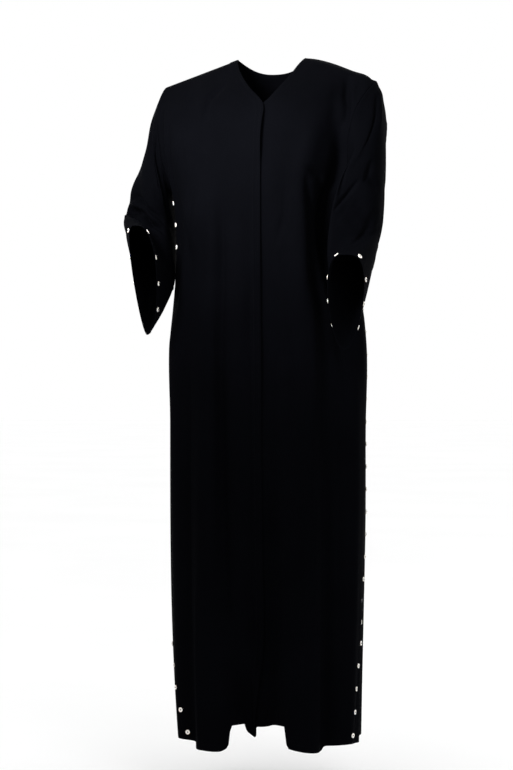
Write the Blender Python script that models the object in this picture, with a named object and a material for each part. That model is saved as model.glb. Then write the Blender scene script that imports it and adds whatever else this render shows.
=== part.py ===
"""A black front-opening abaya at its real size, hanging as it is worn.

Metres, +Z up.  The origin lies midway between the two neck points, at the top
of the shoulders.  The front faces -Y and the wearer's left is +X.

Every cut piece is one closed sheet of cloth.  Its outer face is a grid of
points worked out from the tables below, and its inner face lies one cloth
thickness behind it.  Neighbouring pieces stop short of their common seam by
half of the seam gap, and share the direction of their edges there.
"""

import math

import bpy
import numpy as np
from mathutils.bvhtree import BVHTree

CLOTH = 0.0016  # thickness of a cloth wall
SEAM_GAP = 0.0003  # clear gap between two pieces at a seam
LAP = 0.0115  # the front edges pass the centre line by this much
LAP_DROP = CLOTH + 0.0010  # how far the under front lies behind the upper one
LAP_PAST = 0.004  # how far past the lap's edge the under front stays behind
LAP_RISE = 0.016  # width over which it then comes up flush again

NECK_HALF = 0.0715  # centre line to neck point
SHOULDER_HALF = 0.2140  # centre line to shoulder tip
SHOULDER_DROP = 0.058  # neck point down to shoulder tip
LEFT_SHOULDER_ARCH = 1.45  # how much the raised left shoulder seam arches (1 is straight)
SHOULDER_FORWARD = 0.045  # neck point forward to shoulder tip
BACK_NECK_DROP = 0.026  # neck points down to the neckline at the centre back
UNDERARM = -0.271  # height of the underarm points
FRONT_ROUND = 0.17  # drop over which the front comes forward from the shoulder
BACK_ROUND = 0.13  # the same at the back
RING_POWER = 2.3  # squareness of the body's rings
FEEL_TURN, FEEL_RISE = 0.6, 0.003  # steps in degrees and metres that tell the body's slope

BUTTON_RADIUS = 0.0047
BUTTON_HEIGHT = 0.0016
BUTTON_SIDES = 8
BUTTON_PITCH = 0.0458
BUTTON_LIFT = 0.0003  # clear gap between a button's back and the highest cloth under it
BUTTON_FEEL = 0.006  # how far above and below a button's place its cloth is felt for
BUTTON_FELT = (0.01, 0.4, 0.7, 1.0)  # circles in which it is felt, as shares of the radius
BUTTON_FACE = 0.94  # radius of a button's front as a share of its back's
SIDE_BUTTONS = 17  # on each side seam, counted up from the hem
SIDE_BUTTON_HEM = 0.017  # hem to the middle of the lowest button
SIDE_BUTTON_INSET = 0.011  # side seam to the middle of a button
CUFF_BUTTONS = 9
CUFF_BUTTON_INSET = 0.010  # sleeve hem to the middle of a button

FRONT_COLUMNS = 17  # faces across one front panel
NECK_COLUMNS = 4  # faces across the back neckline
LAP_COLUMNS = 3  # of the front's faces, those in the lap
YOKE_ROWS = 8  # shoulder to the bottom of the V
CHEST_ROWS = 8  # V to underarm
SKIRT_ROWS = 17  # underarm to hem
SLEEVE_ROWS = 18  # armhole to sleeve hem
YOKE_BUNCH = 1.35  # how much the yoke's rows crowd towards the shoulder
YOKE_FALL = 0.040  # the yoke's last row hangs this much lower at the armhole than at the V
LAP_STRAIGHTEN = 2.5  # the lap is straight after this share of the chest, as one over it
BACK_WIDEN = 1.6  # stage by which the back's columns have spread to the armholes
NECKLINE_POWER = 2.4  # how flat the back neckline runs at the centre
FOLD_DEEPEN = 1.3  # how a fold's lift grows down its length
FOLD_EDGE = 2.2  # how steep a fold's sides are
SIDE_LIFT_FROM, SIDE_LIFT_OVER = 0.02, 0.10  # folds move the sides only below the underarm
SLEEVE_SWELL = 0.8  # how early a spiral ring opens out from its fold
SLEEVE_TAPER = 0.30  # how much a full ring narrows again towards its bottom
CREASE_ENDS = 0.55  # a crease's lift at its ends, as a share of that at its middle
CREASE_FADES = (0.6, 5.4, 0.6, 0.6)  # creases: rings they start over, ring and rings they fade over, share

# The body's rings.  z, right_half, left_half, front_y, back_y, centre_y
BODY = np.array([
    (0.000, 0.300, 0.300, -0.100, 0.050, -0.045),
    (-0.040, 0.296, 0.296, -0.115, 0.056, -0.045),
    (-0.080, 0.284, 0.284, -0.143, 0.066, -0.046),
    (-0.120, 0.264, 0.262, -0.162, 0.072, -0.048),
    (-0.160, 0.244, 0.236, -0.172, 0.073, -0.050),
    (-0.200, 0.226, 0.213, -0.178, 0.071, -0.053),
    (-0.240, 0.209, 0.193, -0.181, 0.067, -0.056),
    (-0.271, 0.198, 0.180, -0.182, 0.064, -0.058),
    (-0.350, 0.188, 0.168, -0.182, 0.058, -0.060),
    (-0.460, 0.189, 0.179, -0.181, 0.055, -0.060),
    (-0.520, 0.194, 0.197, -0.180, 0.056, -0.060),
    (-0.570, 0.199, 0.203, -0.180, 0.058, -0.060),
    (-0.750, 0.1990, 0.203, -0.179, 0.061, -0.060),
    (-0.900, 0.1985, 0.202, -0.178, 0.062, -0.059),
    (-1.100, 0.1950, 0.197, -0.176, 0.064, -0.058),
    (-1.300, 0.1870, 0.191, -0.174, 0.066, -0.057),
    (-1.420, 0.1800, 0.187, -0.172, 0.067, -0.056),
])

# The armhole seams.  z, right_front_x, right_back_x, left_front_x, left_back_x
ARMHOLE = np.array([
    (-0.058, -0.2140, -0.2140, 0.2230, 0.2230),
    (-0.090, -0.2190, -0.2170, 0.2060, 0.2180),
    (-0.120, -0.2195, -0.2150, 0.1920, 0.2150),
    (-0.160, -0.2160, -0.2110, 0.1800, 0.2090),
    (-0.200, -0.2110, -0.2060, 0.1740, 0.2010),
    (-0.240, -0.2040, -0.2010, 0.1750, 0.1900),
    (-0.258, -0.2005, -0.2000, 0.1805, 0.1845),
    (-0.271, -0.1980, -0.1980, 0.1800, 0.1800),
])

# The side seams.  z, right_angle, left_angle.  Angle 0 is the centre front,
# +90 the wearer's left side, -90 the right side and 180 the centre back.
SIDE_SEAM = np.array([
    (-0.271, -90, 90),
    (-0.300, -82, 92),
    (-0.345, -79, 96),
    (-0.385, -80, 101),
    (-0.425, -90, 106),
    (-0.490, -98, 112),
    (-0.560, -99, 115),
    (-0.680, -99, 118),
    (-0.860, -98, 118),
    (-0.960, -98, 117),
    (-1.040, -97, 112),
    (-1.100, -95, 101),
    (-1.150, -90, 89),
    (-1.170, -85, 85),
    (-1.210, -76, 80),
    (-1.300, -60, 75),
    (-1.390, -50, 68),
])

# The edges of the V.  x, z from the neck point to the end of the lap
V_RIGHT = np.array([
    (-0.0715, 0.000),
    (-0.0520, -0.037),
    (-0.0225, -0.076),
    (0.0072, -0.107),
    (0.0140, -0.126),
])
V_LEFT = np.array([
    (0.0715, 0.000),
    (0.0511, -0.0474),
    (0.0295, -0.0848),
    (0.0060, -0.1120),
    (-0.0115, -0.1260),
])

# Where the lap wanders to at the bottom of the skirt.  z, x
LAP_SWING = np.array([
    (-1.100, 0.000),
    (-1.200, -0.005),
    (-1.290, -0.018),
    (-1.380, -0.0355),
])

# The height of the hem round the body.  angle, z
HEM = np.array([
    (-180, -1.375),
    (-130, -1.380),
    (-90, -1.382),
    (-60, -1.381),
    (-46, -1.384),
    (-41, -1.393),
    (-30, -1.393),
    (-20.5, -1.396),
    (-17.0, -1.389),
    (-15.3, -1.347),
    (-10.6, -1.348),
    (-9.8, -1.363),
    (-7.0, -1.375),
    (-5.4, -1.378),
    (-4.4, -1.357),
    (4, -1.352),
    (14.8, -1.343),
    (16.4, -1.385),
    (34, -1.391),
    (43, -1.393),
    (46, -1.384),
    (62, -1.381),
    (90, -1.385),
    (130, -1.381),
    (180, -1.375),
])

# The body's folds.  Each row is one ridge (lift above 0) or trough (below 0):
# top_z, bottom_z, top_angle, bottom_angle, top_width, bottom_width (degrees),
# top_lift, bottom_lift, fade_top, fade_bottom (metres)
FOLDS = np.array([
    # front skirt, from the wearer's right to the left
    (-0.55, -1.45, -62.0, -58.0, 11.0, 9.0, 0.004, 0.008, 0.20, 0.01),
    (-0.45, -1.45, -46.0, -47.0, 7.0, 6.0, -0.003, -0.012, 0.20, 0.01),
    (-0.40, -1.45, -25.0, -30.0, 8.0, 9.0, 0.007, 0.022, 0.20, 0.01),
    (-0.42, -1.10, -18.5, -17.0, 3.2, 4.0, -0.012, -0.016, 0.16, 0.12),
    (-0.42, -1.20, -8.0, -6.5, 5.0, 4.5, 0.006, 0.008, 0.20, 0.15),
    (-0.50, -1.15, 5.5, 3.0, 4.5, 6.0, -0.011, -0.020, 0.20, 0.15),
    (-1.00, -1.45, -6.0, -8.0, 7.0, 7.5, -0.004, -0.085, 0.20, 0.01),
    (-1.00, -1.45, 4.0, 5.5, 7.0, 7.5, -0.004, -0.085, 0.20, 0.01),
    (-0.40, -1.45, 26.0, 29.0, 8.0, 8.5, 0.008, 0.024, 0.20, 0.01),
    (-0.38, -1.45, 39.0, 44.5, 6.0, 7.0, -0.010, -0.017, 0.16, 0.01),
    (-0.50, -1.45, 66.0, 64.0, 10.0, 9.0, 0.004, 0.010, 0.20, 0.01),
    # front chest and waist
    (-0.11, -0.36, 32.0, 64.0, 9.0, 14.0, -0.024, -0.028, 0.08, 0.12),
    (-0.24, -0.57, 58.0, 60.0, 14.0, 13.0, -0.028, -0.024, 0.12, 0.15),
    (-0.20, -0.45, 27.0, 25.0, 7.0, 7.0, 0.008, 0.006, 0.09, 0.14),
    (-0.05, -0.20, -28.0, -29.0, 4.0, 5.0, -0.005, -0.003, 0.03, 0.08),
    (-0.16, -0.42, -36.0, -52.0, 9.0, 11.0, 0.006, 0.004, 0.08, 0.14),
    (-0.16, -0.46, -58.0, -66.0, 10.0, 9.0, -0.006, -0.010, 0.12, 0.14),
    # sides and back
    (-0.60, -1.45, -96.0, -98.0, 8.0, 8.0, -0.003, -0.009, 0.25, 0.01),
    (-0.45, -1.45, -122.0, -126.0, 9.0, 9.0, 0.006, 0.018, 0.25, 0.01),
    (-0.35, -1.45, -143.0, -146.0, 7.0, 7.5, -0.008, -0.022, 0.25, 0.01),
    (-0.22, -1.45, -163.0, -165.0, 7.0, 8.0, 0.007, 0.020, 0.15, 0.01),
    (-0.30, -1.45, 176.0, 178.0, 6.5, 7.0, -0.009, -0.024, 0.22, 0.01),
    (-0.24, -1.45, 158.0, 160.0, 7.5, 8.0, 0.008, 0.022, 0.15, 0.01),
    (-0.40, -1.45, 139.0, 141.0, 7.0, 7.5, -0.007, -0.020, 0.25, 0.01),
    (-0.50, -1.45, 119.0, 121.0, 9.0, 9.0, 0.005, 0.016, 0.25, 0.01),
    (-0.60, -1.45, 98.0, 99.0, 8.0, 8.0, -0.003, -0.010, 0.25, 0.01),
])

# The sleeves' rings after the armhole, one row a ring.  top x, y, z (the fold
# over the arm), bottom x, y, z (the seam side), front reach x, y and back
# reach x, y from the line between them, how far the ring's fullness sits
# towards the top (1 is none), and how upright the ring stands (0 spirals round
# the arm, 1 lies in one plane)
SLEEVE_RIGHT = np.array([
    (-0.2400, -0.046, -0.118, -0.2030, -0.046, -0.288, -0.001, -0.064, 0.000, 0.052, 1.00, 0.0),
    (-0.2570, -0.046, -0.186, -0.2005, -0.034, -0.335, 0.008, -0.068, 0.000, 0.054, 1.00, 0.0),
    (-0.2855, -0.048, -0.256, -0.1995, -0.022, -0.400, 0.018, -0.070, -0.004, 0.050, 1.00, 0.1),
    (-0.2960, -0.066, -0.314, -0.2010, -0.050, -0.466, 0.038, -0.054, -0.008, 0.038, 1.10, 0.5),
    (-0.2740, -0.142, -0.338, -0.2085, -0.125, -0.524, 0.048, -0.020, -0.016, 0.012, 1.30, 1.0),
    (-0.2330, -0.226, -0.356, -0.2135, -0.200, -0.571, 0.038, -0.004, -0.018, 0.006, 1.45, 1.0),
])
SLEEVE_LEFT = np.array([
    (0.2385, -0.045, -0.115, 0.1920, -0.057, -0.288, -0.020, -0.082, 0.000, 0.052, 1.00, 0.0),
    (0.2415, -0.048, -0.190, 0.1900, -0.062, -0.328, -0.044, -0.100, 0.000, 0.054, 1.00, 0.0),
    (0.2400, -0.058, -0.272, 0.1900, -0.072, -0.385, -0.060, -0.104, 0.000, 0.050, 1.00, 0.0),
    (0.2350, -0.086, -0.346, 0.1910, -0.100, -0.460, -0.066, -0.096, 0.006, 0.036, 1.10, 0.3),
    (0.2200, -0.156, -0.388, 0.1935, -0.160, -0.540, -0.056, -0.045, 0.018, 0.014, 1.30, 1.0),
    (0.1890, -0.236, -0.420, 0.1840, -0.216, -0.603, -0.036, -0.002, 0.039, 0.006, 1.50, 1.0),
])

# The sleeves' creases.  ring_from, round_from, ring_to, round_to, half_width
# and lift in metres.  Round 0 is the top, 0.25 the front, 0.5 the bottom.
CREASES_RIGHT = np.array([
    (0.4, 0.24, 2.4, 0.42, 0.022, -0.007),
    (0.8, 0.10, 2.2, 0.26, 0.022, -0.006),
    (3.6, 0.02, 4.6, 0.20, 0.020, -0.009),
    (2.6, 0.04, 4.0, 0.30, 0.022, -0.008),
    (4.4, 0.05, 5.4, 0.12, 0.022, 0.004),
    (0.8, 0.80, 3.2, 0.66, 0.026, -0.008),
    (1.6, 0.92, 4.0, 0.78, 0.026, -0.008),
])
CREASES_LEFT = np.array([
    (0.8, 0.06, 1.8, 0.13, 0.024, -0.005),
    (2.2, 0.22, 3.4, 0.10, 0.022, -0.006),
    (3.2, 0.16, 4.6, 0.05, 0.022, -0.006),
    (0.8, 0.82, 3.2, 0.68, 0.026, -0.008),
    (1.8, 0.93, 4.2, 0.80, 0.026, -0.008),
])
SPIRAL_EASE = 0.6  # how much a spiral ring levels out at the front and the back of the arm
RIGHT_BOX, LEFT_BOX = 0.0, 1.0  # how square the upper front of a sleeve's spiral rings is
BOX_FRONT = 0.4  # how much sooner a square ring reaches forward
RING_STEP = 0.075  # length of sleeve between two rings, for the creases
ROUND_STEP = 0.46  # length round a sleeve, for the creases

CLOTH_COLOUR, CLOTH_ROUGHNESS = (0.012, 0.012, 0.016, 1.0), 0.85
BUTTON_COLOUR, BUTTON_ROUGHNESS = (0.80, 0.78, 0.72, 1.0), 0.25


def track(keys, values, at, keen=False):
    """Values read from a table's column along a smooth curve through its rows.

    A keen curve never swings past its rows' values, so corners stay crisp.
    """
    keys = np.asarray(keys, float)
    values = np.asarray(values, float)
    if keys[0] > keys[-1]:
        keys, values = keys[::-1], values[::-1]
    steps = np.diff(keys)
    slopes = np.diff(values) / steps
    ends = np.zeros(len(keys))
    ends[0], ends[-1] = slopes[0], slopes[-1]
    ends[1:-1] = (slopes[:-1] * steps[1:] + slopes[1:] * steps[:-1]) / (steps[:-1] + steps[1:])
    if keen:
        together = slopes[:-1] * slopes[1:] > 0
        least = np.minimum(np.abs(slopes[:-1]), np.abs(slopes[1:])) * 2
        ends[1:-1] = np.where(together, np.sign(ends[1:-1]) * np.minimum(np.abs(ends[1:-1]), least), 0.0)
    at = np.clip(at, keys[0], keys[-1])
    row = np.clip(np.searchsorted(keys, at) - 1, 0, len(steps) - 1)
    step = steps[row]
    s = (at - keys[row]) / step
    rest = 1 - s
    return (values[row] * (1 + 2 * s) * rest**2 + values[row + 1] * (3 - 2 * s) * s**2
            + ends[row] * step * s * rest**2 - ends[row + 1] * step * rest * s**2)


def ease(s):
    """0 to 1 with a soft start and end."""
    s = np.clip(s, 0, 1)
    return s * s * (3 - 2 * s)


def unit(vectors):
    """Vectors of length 1."""
    return vectors / np.maximum(np.linalg.norm(vectors, axis=-1, keepdims=True), 1e-12)


def half_width(z, left):
    """Half of a body ring's width on one side of the centre line."""
    return track(BODY[:, 0], BODY[:, 2 if left else 1], z)


def girth_x(angle, z):
    """Distance from the centre line to a girth angle, before the folds."""
    sine = np.sin(np.radians(angle))
    half = np.where(sine > 0, half_width(z, True), half_width(z, False))
    return half * np.sign(sine) * np.abs(sine) ** (2 / RING_POWER)


def girth_angle(x, z, back):
    """The angle round the body of a place at x on its front or back."""
    half = np.where(x > 0, half_width(z, True), half_width(z, False))
    share = np.clip(np.abs(x) / half, 0, 1)
    angle = np.degrees(np.arcsin(share ** (RING_POWER / 2))) * np.sign(x)
    return np.where(x >= 0, 180 - angle, -180 - angle) if back else angle


def fold_lift(angle, z):
    """How far the folds move the body's surface outwards, at a girth angle and height."""
    lift = np.zeros(np.broadcast(angle, z).shape)
    for (top_z, bottom_z, top_angle, bottom_angle, top_width, bottom_width,
         top_lift, bottom_lift, fade_top, fade_bottom) in FOLDS:
        down = np.clip((top_z - z) / (top_z - bottom_z), 0, 1)
        middle = top_angle + (bottom_angle - top_angle) * down
        width = top_width + (bottom_width - top_width) * down
        height = top_lift + (bottom_lift - top_lift) * down**FOLD_DEEPEN
        height = height * ease((top_z + fade_top - z) / fade_top)
        height = height * ease((z - bottom_z + fade_bottom) / fade_bottom)
        away = (angle - middle + 180) % 360 - 180
        lift = lift + height * np.exp(-np.abs(away / width) ** FOLD_EDGE)
    return lift


def body_point(angle, z, back):
    """Points of the body's outer face at a girth angle and height."""
    centre = track(BODY[:, 0], BODY[:, 5], z)
    sine, cosine = np.sin(np.radians(angle)), np.cos(np.radians(angle))
    ahead, behind = centre - track(BODY[:, 0], BODY[:, 3], z), track(BODY[:, 0], BODY[:, 4], z) - centre
    far = np.where(cosine > 0, ahead, behind)
    lift = fold_lift(angle, z)
    x = girth_x(angle, z)
    full_y = centre - far * np.sign(cosine) * np.abs(cosine) ** (2 / RING_POWER) - cosine * lift
    along = np.clip((np.abs(x) - NECK_HALF) / (SHOULDER_HALF - NECK_HALF), 0, 1)
    ridge_y = -SHOULDER_FORWARD * along
    drop = np.clip((ridge_z(x) - z) / (BACK_ROUND if back else FRONT_ROUND), 0, 1)
    y = ridge_y + (full_y - ridge_y) * np.sqrt(1 - (1 - drop) ** 2)
    x = x + sine * lift * ease((UNDERARM + SIDE_LIFT_FROM - z) / SIDE_LIFT_OVER)
    return np.stack([x, y, z + 0 * x], axis=-1)


def ridge_z(x):
    """Height of the shoulder seam at x."""
    along = np.clip((np.abs(x) - NECK_HALF) / (SHOULDER_HALF - NECK_HALF), 0, 1)
    return -SHOULDER_DROP * along ** np.where(x > 0, LEFT_SHOULDER_ARCH, 1.0)


def body_normals(angle, z, back):
    """Directions out of the body's outer face."""
    turn, rise = FEEL_TURN, FEEL_RISE
    across = body_point(angle + turn, z, back) - body_point(angle - turn, z, back)
    upwards = body_point(angle, z + rise, back) - body_point(angle, z - rise, back)
    return unit(np.cross(across, upwards))


def hem_z(angle):
    """Height of the hem at a girth angle."""
    return track(HEM[:, 0], HEM[:, 1], angle, keen=True)


def row_stages():
    """Stage of each row: 0 to 1 yoke, 1 to 2 chest, 2 to 3 skirt."""
    yoke = np.linspace(0, 1, YOKE_ROWS + 1)[:-1]
    chest = np.linspace(1, 2, CHEST_ROWS + 1)[:-1]
    skirt = np.linspace(2, 3, SKIRT_ROWS + 1)
    return np.concatenate([yoke**YOKE_BUNCH, chest, skirt])


def outer_z(stage):
    """Height of a row at the armhole, down to the underarm."""
    return np.interp(stage, [0, 1, 2], [-SHOULDER_DROP, V_RIGHT[-1, 1] - YOKE_FALL, UNDERARM])


def skirt_place(stage, angle):
    """Height of a skirt row at a girth angle."""
    return UNDERARM + (hem_z(angle) - UNDERARM) * (stage - 2)


def front_places(left):
    """Girth angle and height of one front's points, from the shoulder down and the centre out."""
    sign = 1 if left else -1
    v_edge = V_LEFT if left else V_RIGHT
    v_share = np.linspace(0, 1, len(v_edge))
    top_shares = np.linspace(0, 1, FRONT_COLUMNS + 1)
    lap = np.linspace(-LAP, LAP, LAP_COLUMNS + 1)
    turns = np.linspace(0, 1, FRONT_COLUMNS + 1 - LAP_COLUMNS)
    angles, heights = [], []
    for stage in row_stages():
        if stage > 2:
            level = UNDERARM + (hem_z(0.0) - UNDERARM) * (stage - 2)
            swing = track(LAP_SWING[:, 0], LAP_SWING[:, 1], level)
            lap_angles = girth_angle(swing + sign * lap, level + 0 * lap, False)
            seam = track(SIDE_SEAM[:, 0], SIDE_SEAM[:, 2 if left else 1], level)
            angle = np.concatenate([lap_angles[:-1], lap_angles[-1] + (seam - lap_angles[-1]) * turns])
            height = skirt_place(stage, angle)
        else:
            side_z = outer_z(stage)
            half = half_width(side_z, left)
            side_x = abs(track(ARMHOLE[:, 0], ARMHOLE[:, 3 if left else 1], side_z))
            start = girth_angle(LAP, side_z, False)
            widest = half * np.sin(np.radians(start + (90 - start) * turns)) ** (2 / RING_POWER)
            plain = LAP + (side_x - LAP) * turns
            beyond = plain + (widest * side_x / half - plain) * ease(stage - 1)
            chest = np.concatenate([lap[:-1], beyond])
            if stage < 1:
                inner_x = sign * track(v_share, v_edge[:, 0], stage)
                inner_z = track(v_share, v_edge[:, 1], stage)
            else:
                inner_x = -LAP + (sign * v_edge[-1, 0] + LAP) * (1 - ease((stage - 1) * LAP_STRAIGHTEN))
                inner_z = np.interp(stage, [1, 2], [v_edge[-1, 1], UNDERARM])
            chest_shares = (chest - chest[0]) / (chest[-1] - chest[0])
            shares = top_shares + (chest_shares - top_shares) * ease(stage)
            x = inner_x + (side_x - inner_x) * shares
            lean = np.clip((x - LAP) / (side_x - LAP), 0, 1)
            fall = shares + (lean - shares) * ease(stage)
            height = inner_z + (side_z - inner_z) * fall
            if stage == 0:
                height = ridge_z(sign * x)
            angle = girth_angle(sign * x, height, False)
        angles.append(angle)
        heights.append(height)
    return np.array(angles), np.array(heights)


def back_places():
    """Girth angle and height of the back's points, columns from the wearer's right to the left."""
    shares = np.linspace(0, 1, FRONT_COLUMNS + 1)
    outer = NECK_HALF + (np.array([SHOULDER_HALF, ARMHOLE[0, 4]])[:, None] - NECK_HALF) * shares
    neck = NECK_HALF * np.linspace(-1, 1, NECK_COLUMNS + 1)[1:-1]
    top = np.concatenate([-outer[0][::-1], neck, outer[1]])
    turn = np.linspace(-1, 1, len(top))
    start = ridge_z(top) - BACK_NECK_DROP * (1 - np.clip(np.abs(top) / NECK_HALF, 0, 1) ** NECKLINE_POWER)
    angles, heights = [], []
    for stage in row_stages():
        if stage > 2:
            level = UNDERARM + (hem_z(0.0) - UNDERARM) * (stage - 2)
            right = track(SIDE_SEAM[:, 0], SIDE_SEAM[:, 1], level)
            left = track(SIDE_SEAM[:, 0], SIDE_SEAM[:, 2], level)
            angle = np.where(turn < 0, -180 + (180 + right) * -turn, 180 - (180 - left) * turn)
            height = skirt_place(stage, angle)
        else:
            side_z = outer_z(stage)
            right = track(ARMHOLE[:, 0], ARMHOLE[:, 2], side_z)
            left = track(ARMHOLE[:, 0], ARMHOLE[:, 4], side_z)
            wave = np.abs(np.sin(turn * math.pi / 2)) ** (2 / RING_POWER)
            low = np.where(turn < 0, wave * right, wave * left)
            x = top + (low - top) * ease(stage / BACK_WIDEN)
            x = x * np.where(turn < 0, right / x[0], left / x[-1])
            down = (side_z + SHOULDER_DROP) / (UNDERARM + SHOULDER_DROP)
            height = start + (UNDERARM - start) * down
            angle = girth_angle(x, height, True)
        angles.append(angle)
        heights.append(height)
    return np.array(angles), np.array(heights)


def ring_point(row, around, box):
    """Points of one sleeve ring; around runs 0 top, 0.25 front, 0.5 bottom, 0.75 back.

    The box tells how square the upper front of a spiral ring is (0 is round).
    """
    top, bottom = row[0:3], row[3:6]
    front = np.array([row[6], row[7], 0.0])
    back = np.array([row[8], row[9], 0.0])
    turn = np.abs((around + 0.5) % 1 - 0.5) * 2
    down = ((1 - np.cos(math.pi * turn)) / 2) ** row[10]
    spiral = turn - SPIRAL_EASE * np.sin(4 * math.pi * turn) / (4 * math.pi)
    wide = np.sin(math.pi * turn) ** (SLEEVE_SWELL + (1 - SLEEVE_SWELL) * row[11])
    wide = wide * (1 - SLEEVE_TAPER * (row[10] - 1) * down)
    in_front = (around > 0) & (around < 0.5)
    reach = np.where(in_front[:, None], front, back)
    square = box * (1 - row[11]) * (in_front & (turn < 0.5))
    grown = np.stack([wide ** (1 + square), wide ** (1 - BOX_FRONT * square), wide], axis=1)
    points = top + (bottom - top) * down[:, None] + reach * grown
    points[:, 2] = top[2] + (bottom[2] - top[2]) * (spiral + (down - spiral) * row[11])
    return points


def sleeve_grid(left, front, back):
    """Outer face of one sleeve, rows from the armhole down, columns round the arm."""
    rows = YOKE_ROWS + CHEST_ROWS
    edge = -1 if left else 0
    armhole = np.concatenate([front[:rows, -1], back[rows:0:-1, edge]])
    around = np.arange(2 * rows) / (2 * rows)
    table = SLEEVE_LEFT if left else SLEEVE_RIGHT
    creases = CREASES_LEFT if left else CREASES_RIGHT
    box = LEFT_BOX if left else RIGHT_BOX
    rings = np.array([armhole] + [ring_point(row, around, box) for row in table])
    at = np.linspace(0, len(table), SLEEVE_ROWS + 1)
    flat = rings.reshape(len(rings), -1)
    grid = np.array([track(np.arange(len(rings)), flat[:, c], at) for c in range(flat.shape[1])])
    grid = grid.T.reshape(SLEEVE_ROWS + 1, len(around), 3)
    lift = crease_lift(creases, at[:, None], around[None, :])
    over, ending, ending_over, ending_by = CREASE_FADES
    lift = lift * (ease(at / over) * (1 - ending_by * ease((at - ending) / ending_over)))[:, None]
    return grid + tube_normals(grid, left) * lift[..., None]


def crease_lift(creases, ring, around):
    """How far the creases move a sleeve's surface outwards."""
    lift = np.zeros(np.broadcast(ring, around).shape)
    for ring_from, round_from, ring_to, round_to, width, height in creases:
        line = np.array([(ring_to - ring_from) * RING_STEP, (round_to - round_from) * ROUND_STEP])
        length = np.hypot(*line)
        away_ring = (ring - ring_from) * RING_STEP
        away_round = ((around - round_from + 0.5) % 1 - 0.5) * ROUND_STEP
        along = (away_ring * line[0] + away_round * line[1]) / length**2
        across = (away_ring * line[1] - away_round * line[0]) / length
        past = np.maximum(np.abs(along - 0.5) - 0.5, 0) * length
        swell = CREASE_ENDS + (1 - CREASE_ENDS) * np.sin(math.pi * np.clip(along, 0, 1))
        lift = lift + height * swell * np.exp(-(across / width) ** 2 - (past / width) ** 2)
    return lift


def tube_normals(grid, left):
    """Directions out of a sleeve's grid, which is closed round its columns."""
    around = np.roll(grid, -1, axis=1) - np.roll(grid, 1, axis=1)
    along = np.gradient(grid, axis=0)
    return unit(np.cross(around, along) if left else np.cross(along, around))


def cloth_faces(rows, columns, closed, turned):
    """Triangles of a sheet's outer skin, inner skin and rim.

    Points are counted row by row, the outer skin first.  A turned sheet's
    columns run the other way round, so its triangles are cut and wound the
    other way too.
    """
    inner = (rows + 1) * columns
    across = columns if closed else columns - 1
    faces = []

    def four(a, b, c, d):
        if turned:
            faces.extend([(b, a, d), (b, d, c)])
        else:
            faces.extend([(a, b, c), (a, c, d)])

    for r in range(rows):
        for c in range(across):
            a, b = r * columns + c, r * columns + (c + 1) % columns
            four(a, b, b + columns, a + columns)
            under = [(inner + p, inner + q, inner + s) for s, q, p in faces[-2:]]
            faces.extend(under)
    for r in (0, rows):
        for c in range(across):
            a, b = r * columns + c, r * columns + (c + 1) % columns
            four(*((b, a, inner + a, inner + b) if r == 0 else (a, b, inner + b, inner + a)))
    if not closed:
        for r in range(rows):
            a = r * columns
            b = a + columns
            four(a, b, inner + b, inner + a)
            a, b = a + columns - 1, b + columns - 1
            four(b, a, inner + a, inner + b)
    return faces


def material(name, colour, roughness):
    """A plain surface."""
    made = bpy.data.materials.new(name)
    made.use_nodes = True
    shader = made.node_tree.nodes["Principled BSDF"]
    shader.inputs["Base Color"].default_value = colour
    shader.inputs["Roughness"].default_value = roughness
    shader.inputs["Metallic"].default_value = 0.0
    return made


def add_object(name, points, faces, surface):
    """One named solid."""
    mesh = bpy.data.meshes.new(name)
    mesh.from_pydata([tuple(point) for point in points], [], faces)
    mesh.materials.append(surface)
    mesh.shade_smooth()
    made = bpy.data.objects.new(name, mesh)
    bpy.context.scene.collection.objects.link(made)
    return made


def square_to(ways, line):
    """The share of each way that lies square to a line of seam points."""
    along = unit(np.gradient(line, axis=0))
    return unit(ways - along * (ways * along).sum(axis=-1, keepdims=True))


def part_seam(cut, first, first_edge, first_in, second, second_edge, second_in):
    """Move two pieces' common edge apart by the seam gap.

    The edges are rows and columns of the pieces' points, and the points just
    inside each edge tell the ways in which the cloth leaves the seam.
    """
    line = cut[first][first_edge].copy()
    leaving = square_to(cut[first][first_in] - line, line)
    other = square_to(cut[second][second_in] - cut[second][second_edge], line)
    apart = unit(leaving - other) * SEAM_GAP / 2
    cut[first][first_edge] += apart
    cut[second][second_edge] -= apart


def part_seams(cut, key, edge):
    """Part the shoulder, side and armhole seams of one half of the garment."""
    sleeve = "sleeve_" + key
    rows = YOKE_ROWS + CHEST_ROWS
    count = cut[sleeve].shape[1]
    beside = -2 if edge == -1 else 1
    front_columns = np.arange(FRONT_COLUMNS + 1)
    shoulder = cut["back"].shape[1] - 1 - front_columns[::-1] if edge == -1 else front_columns[::-1]
    part_seam(cut, key, (0, front_columns), (1, front_columns), "back", (0, shoulder), (1, shoulder))
    side = np.arange(rows, len(cut[key]))
    part_seam(cut, key, (side, -1), (side, -2), "back", (side, edge), (side, beside))
    down = np.arange(rows + 1)
    part_seam(cut, key, (down, -1), (down, -2), sleeve, (0, down), (1, down))
    up = (count - down) % count
    part_seam(cut, "back", (down, edge), (down, beside), sleeve, (0, up), (1, up))


def cloth_solid(name, grid, normals, closed, turned, surface):
    """A closed sheet of cloth behind the given outer face."""
    rows, columns = grid.shape[0] - 1, grid.shape[1]
    points = np.concatenate([grid.reshape(-1, 3), (grid - normals * CLOTH).reshape(-1, 3)])
    return add_object(name, points, cloth_faces(rows, columns, closed, turned), surface)


def cloth_skin(pieces):
    """All the cloth's faces, to feel for where a button sits."""
    points, faces = [], []
    for piece in pieces:
        first = len(points)
        points += [vertex.co[:] for vertex in piece.data.vertices]
        faces += [[first + index for index in face.vertices] for face in piece.data.polygons]
    return BVHTree.FromPolygons(points, faces)


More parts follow.
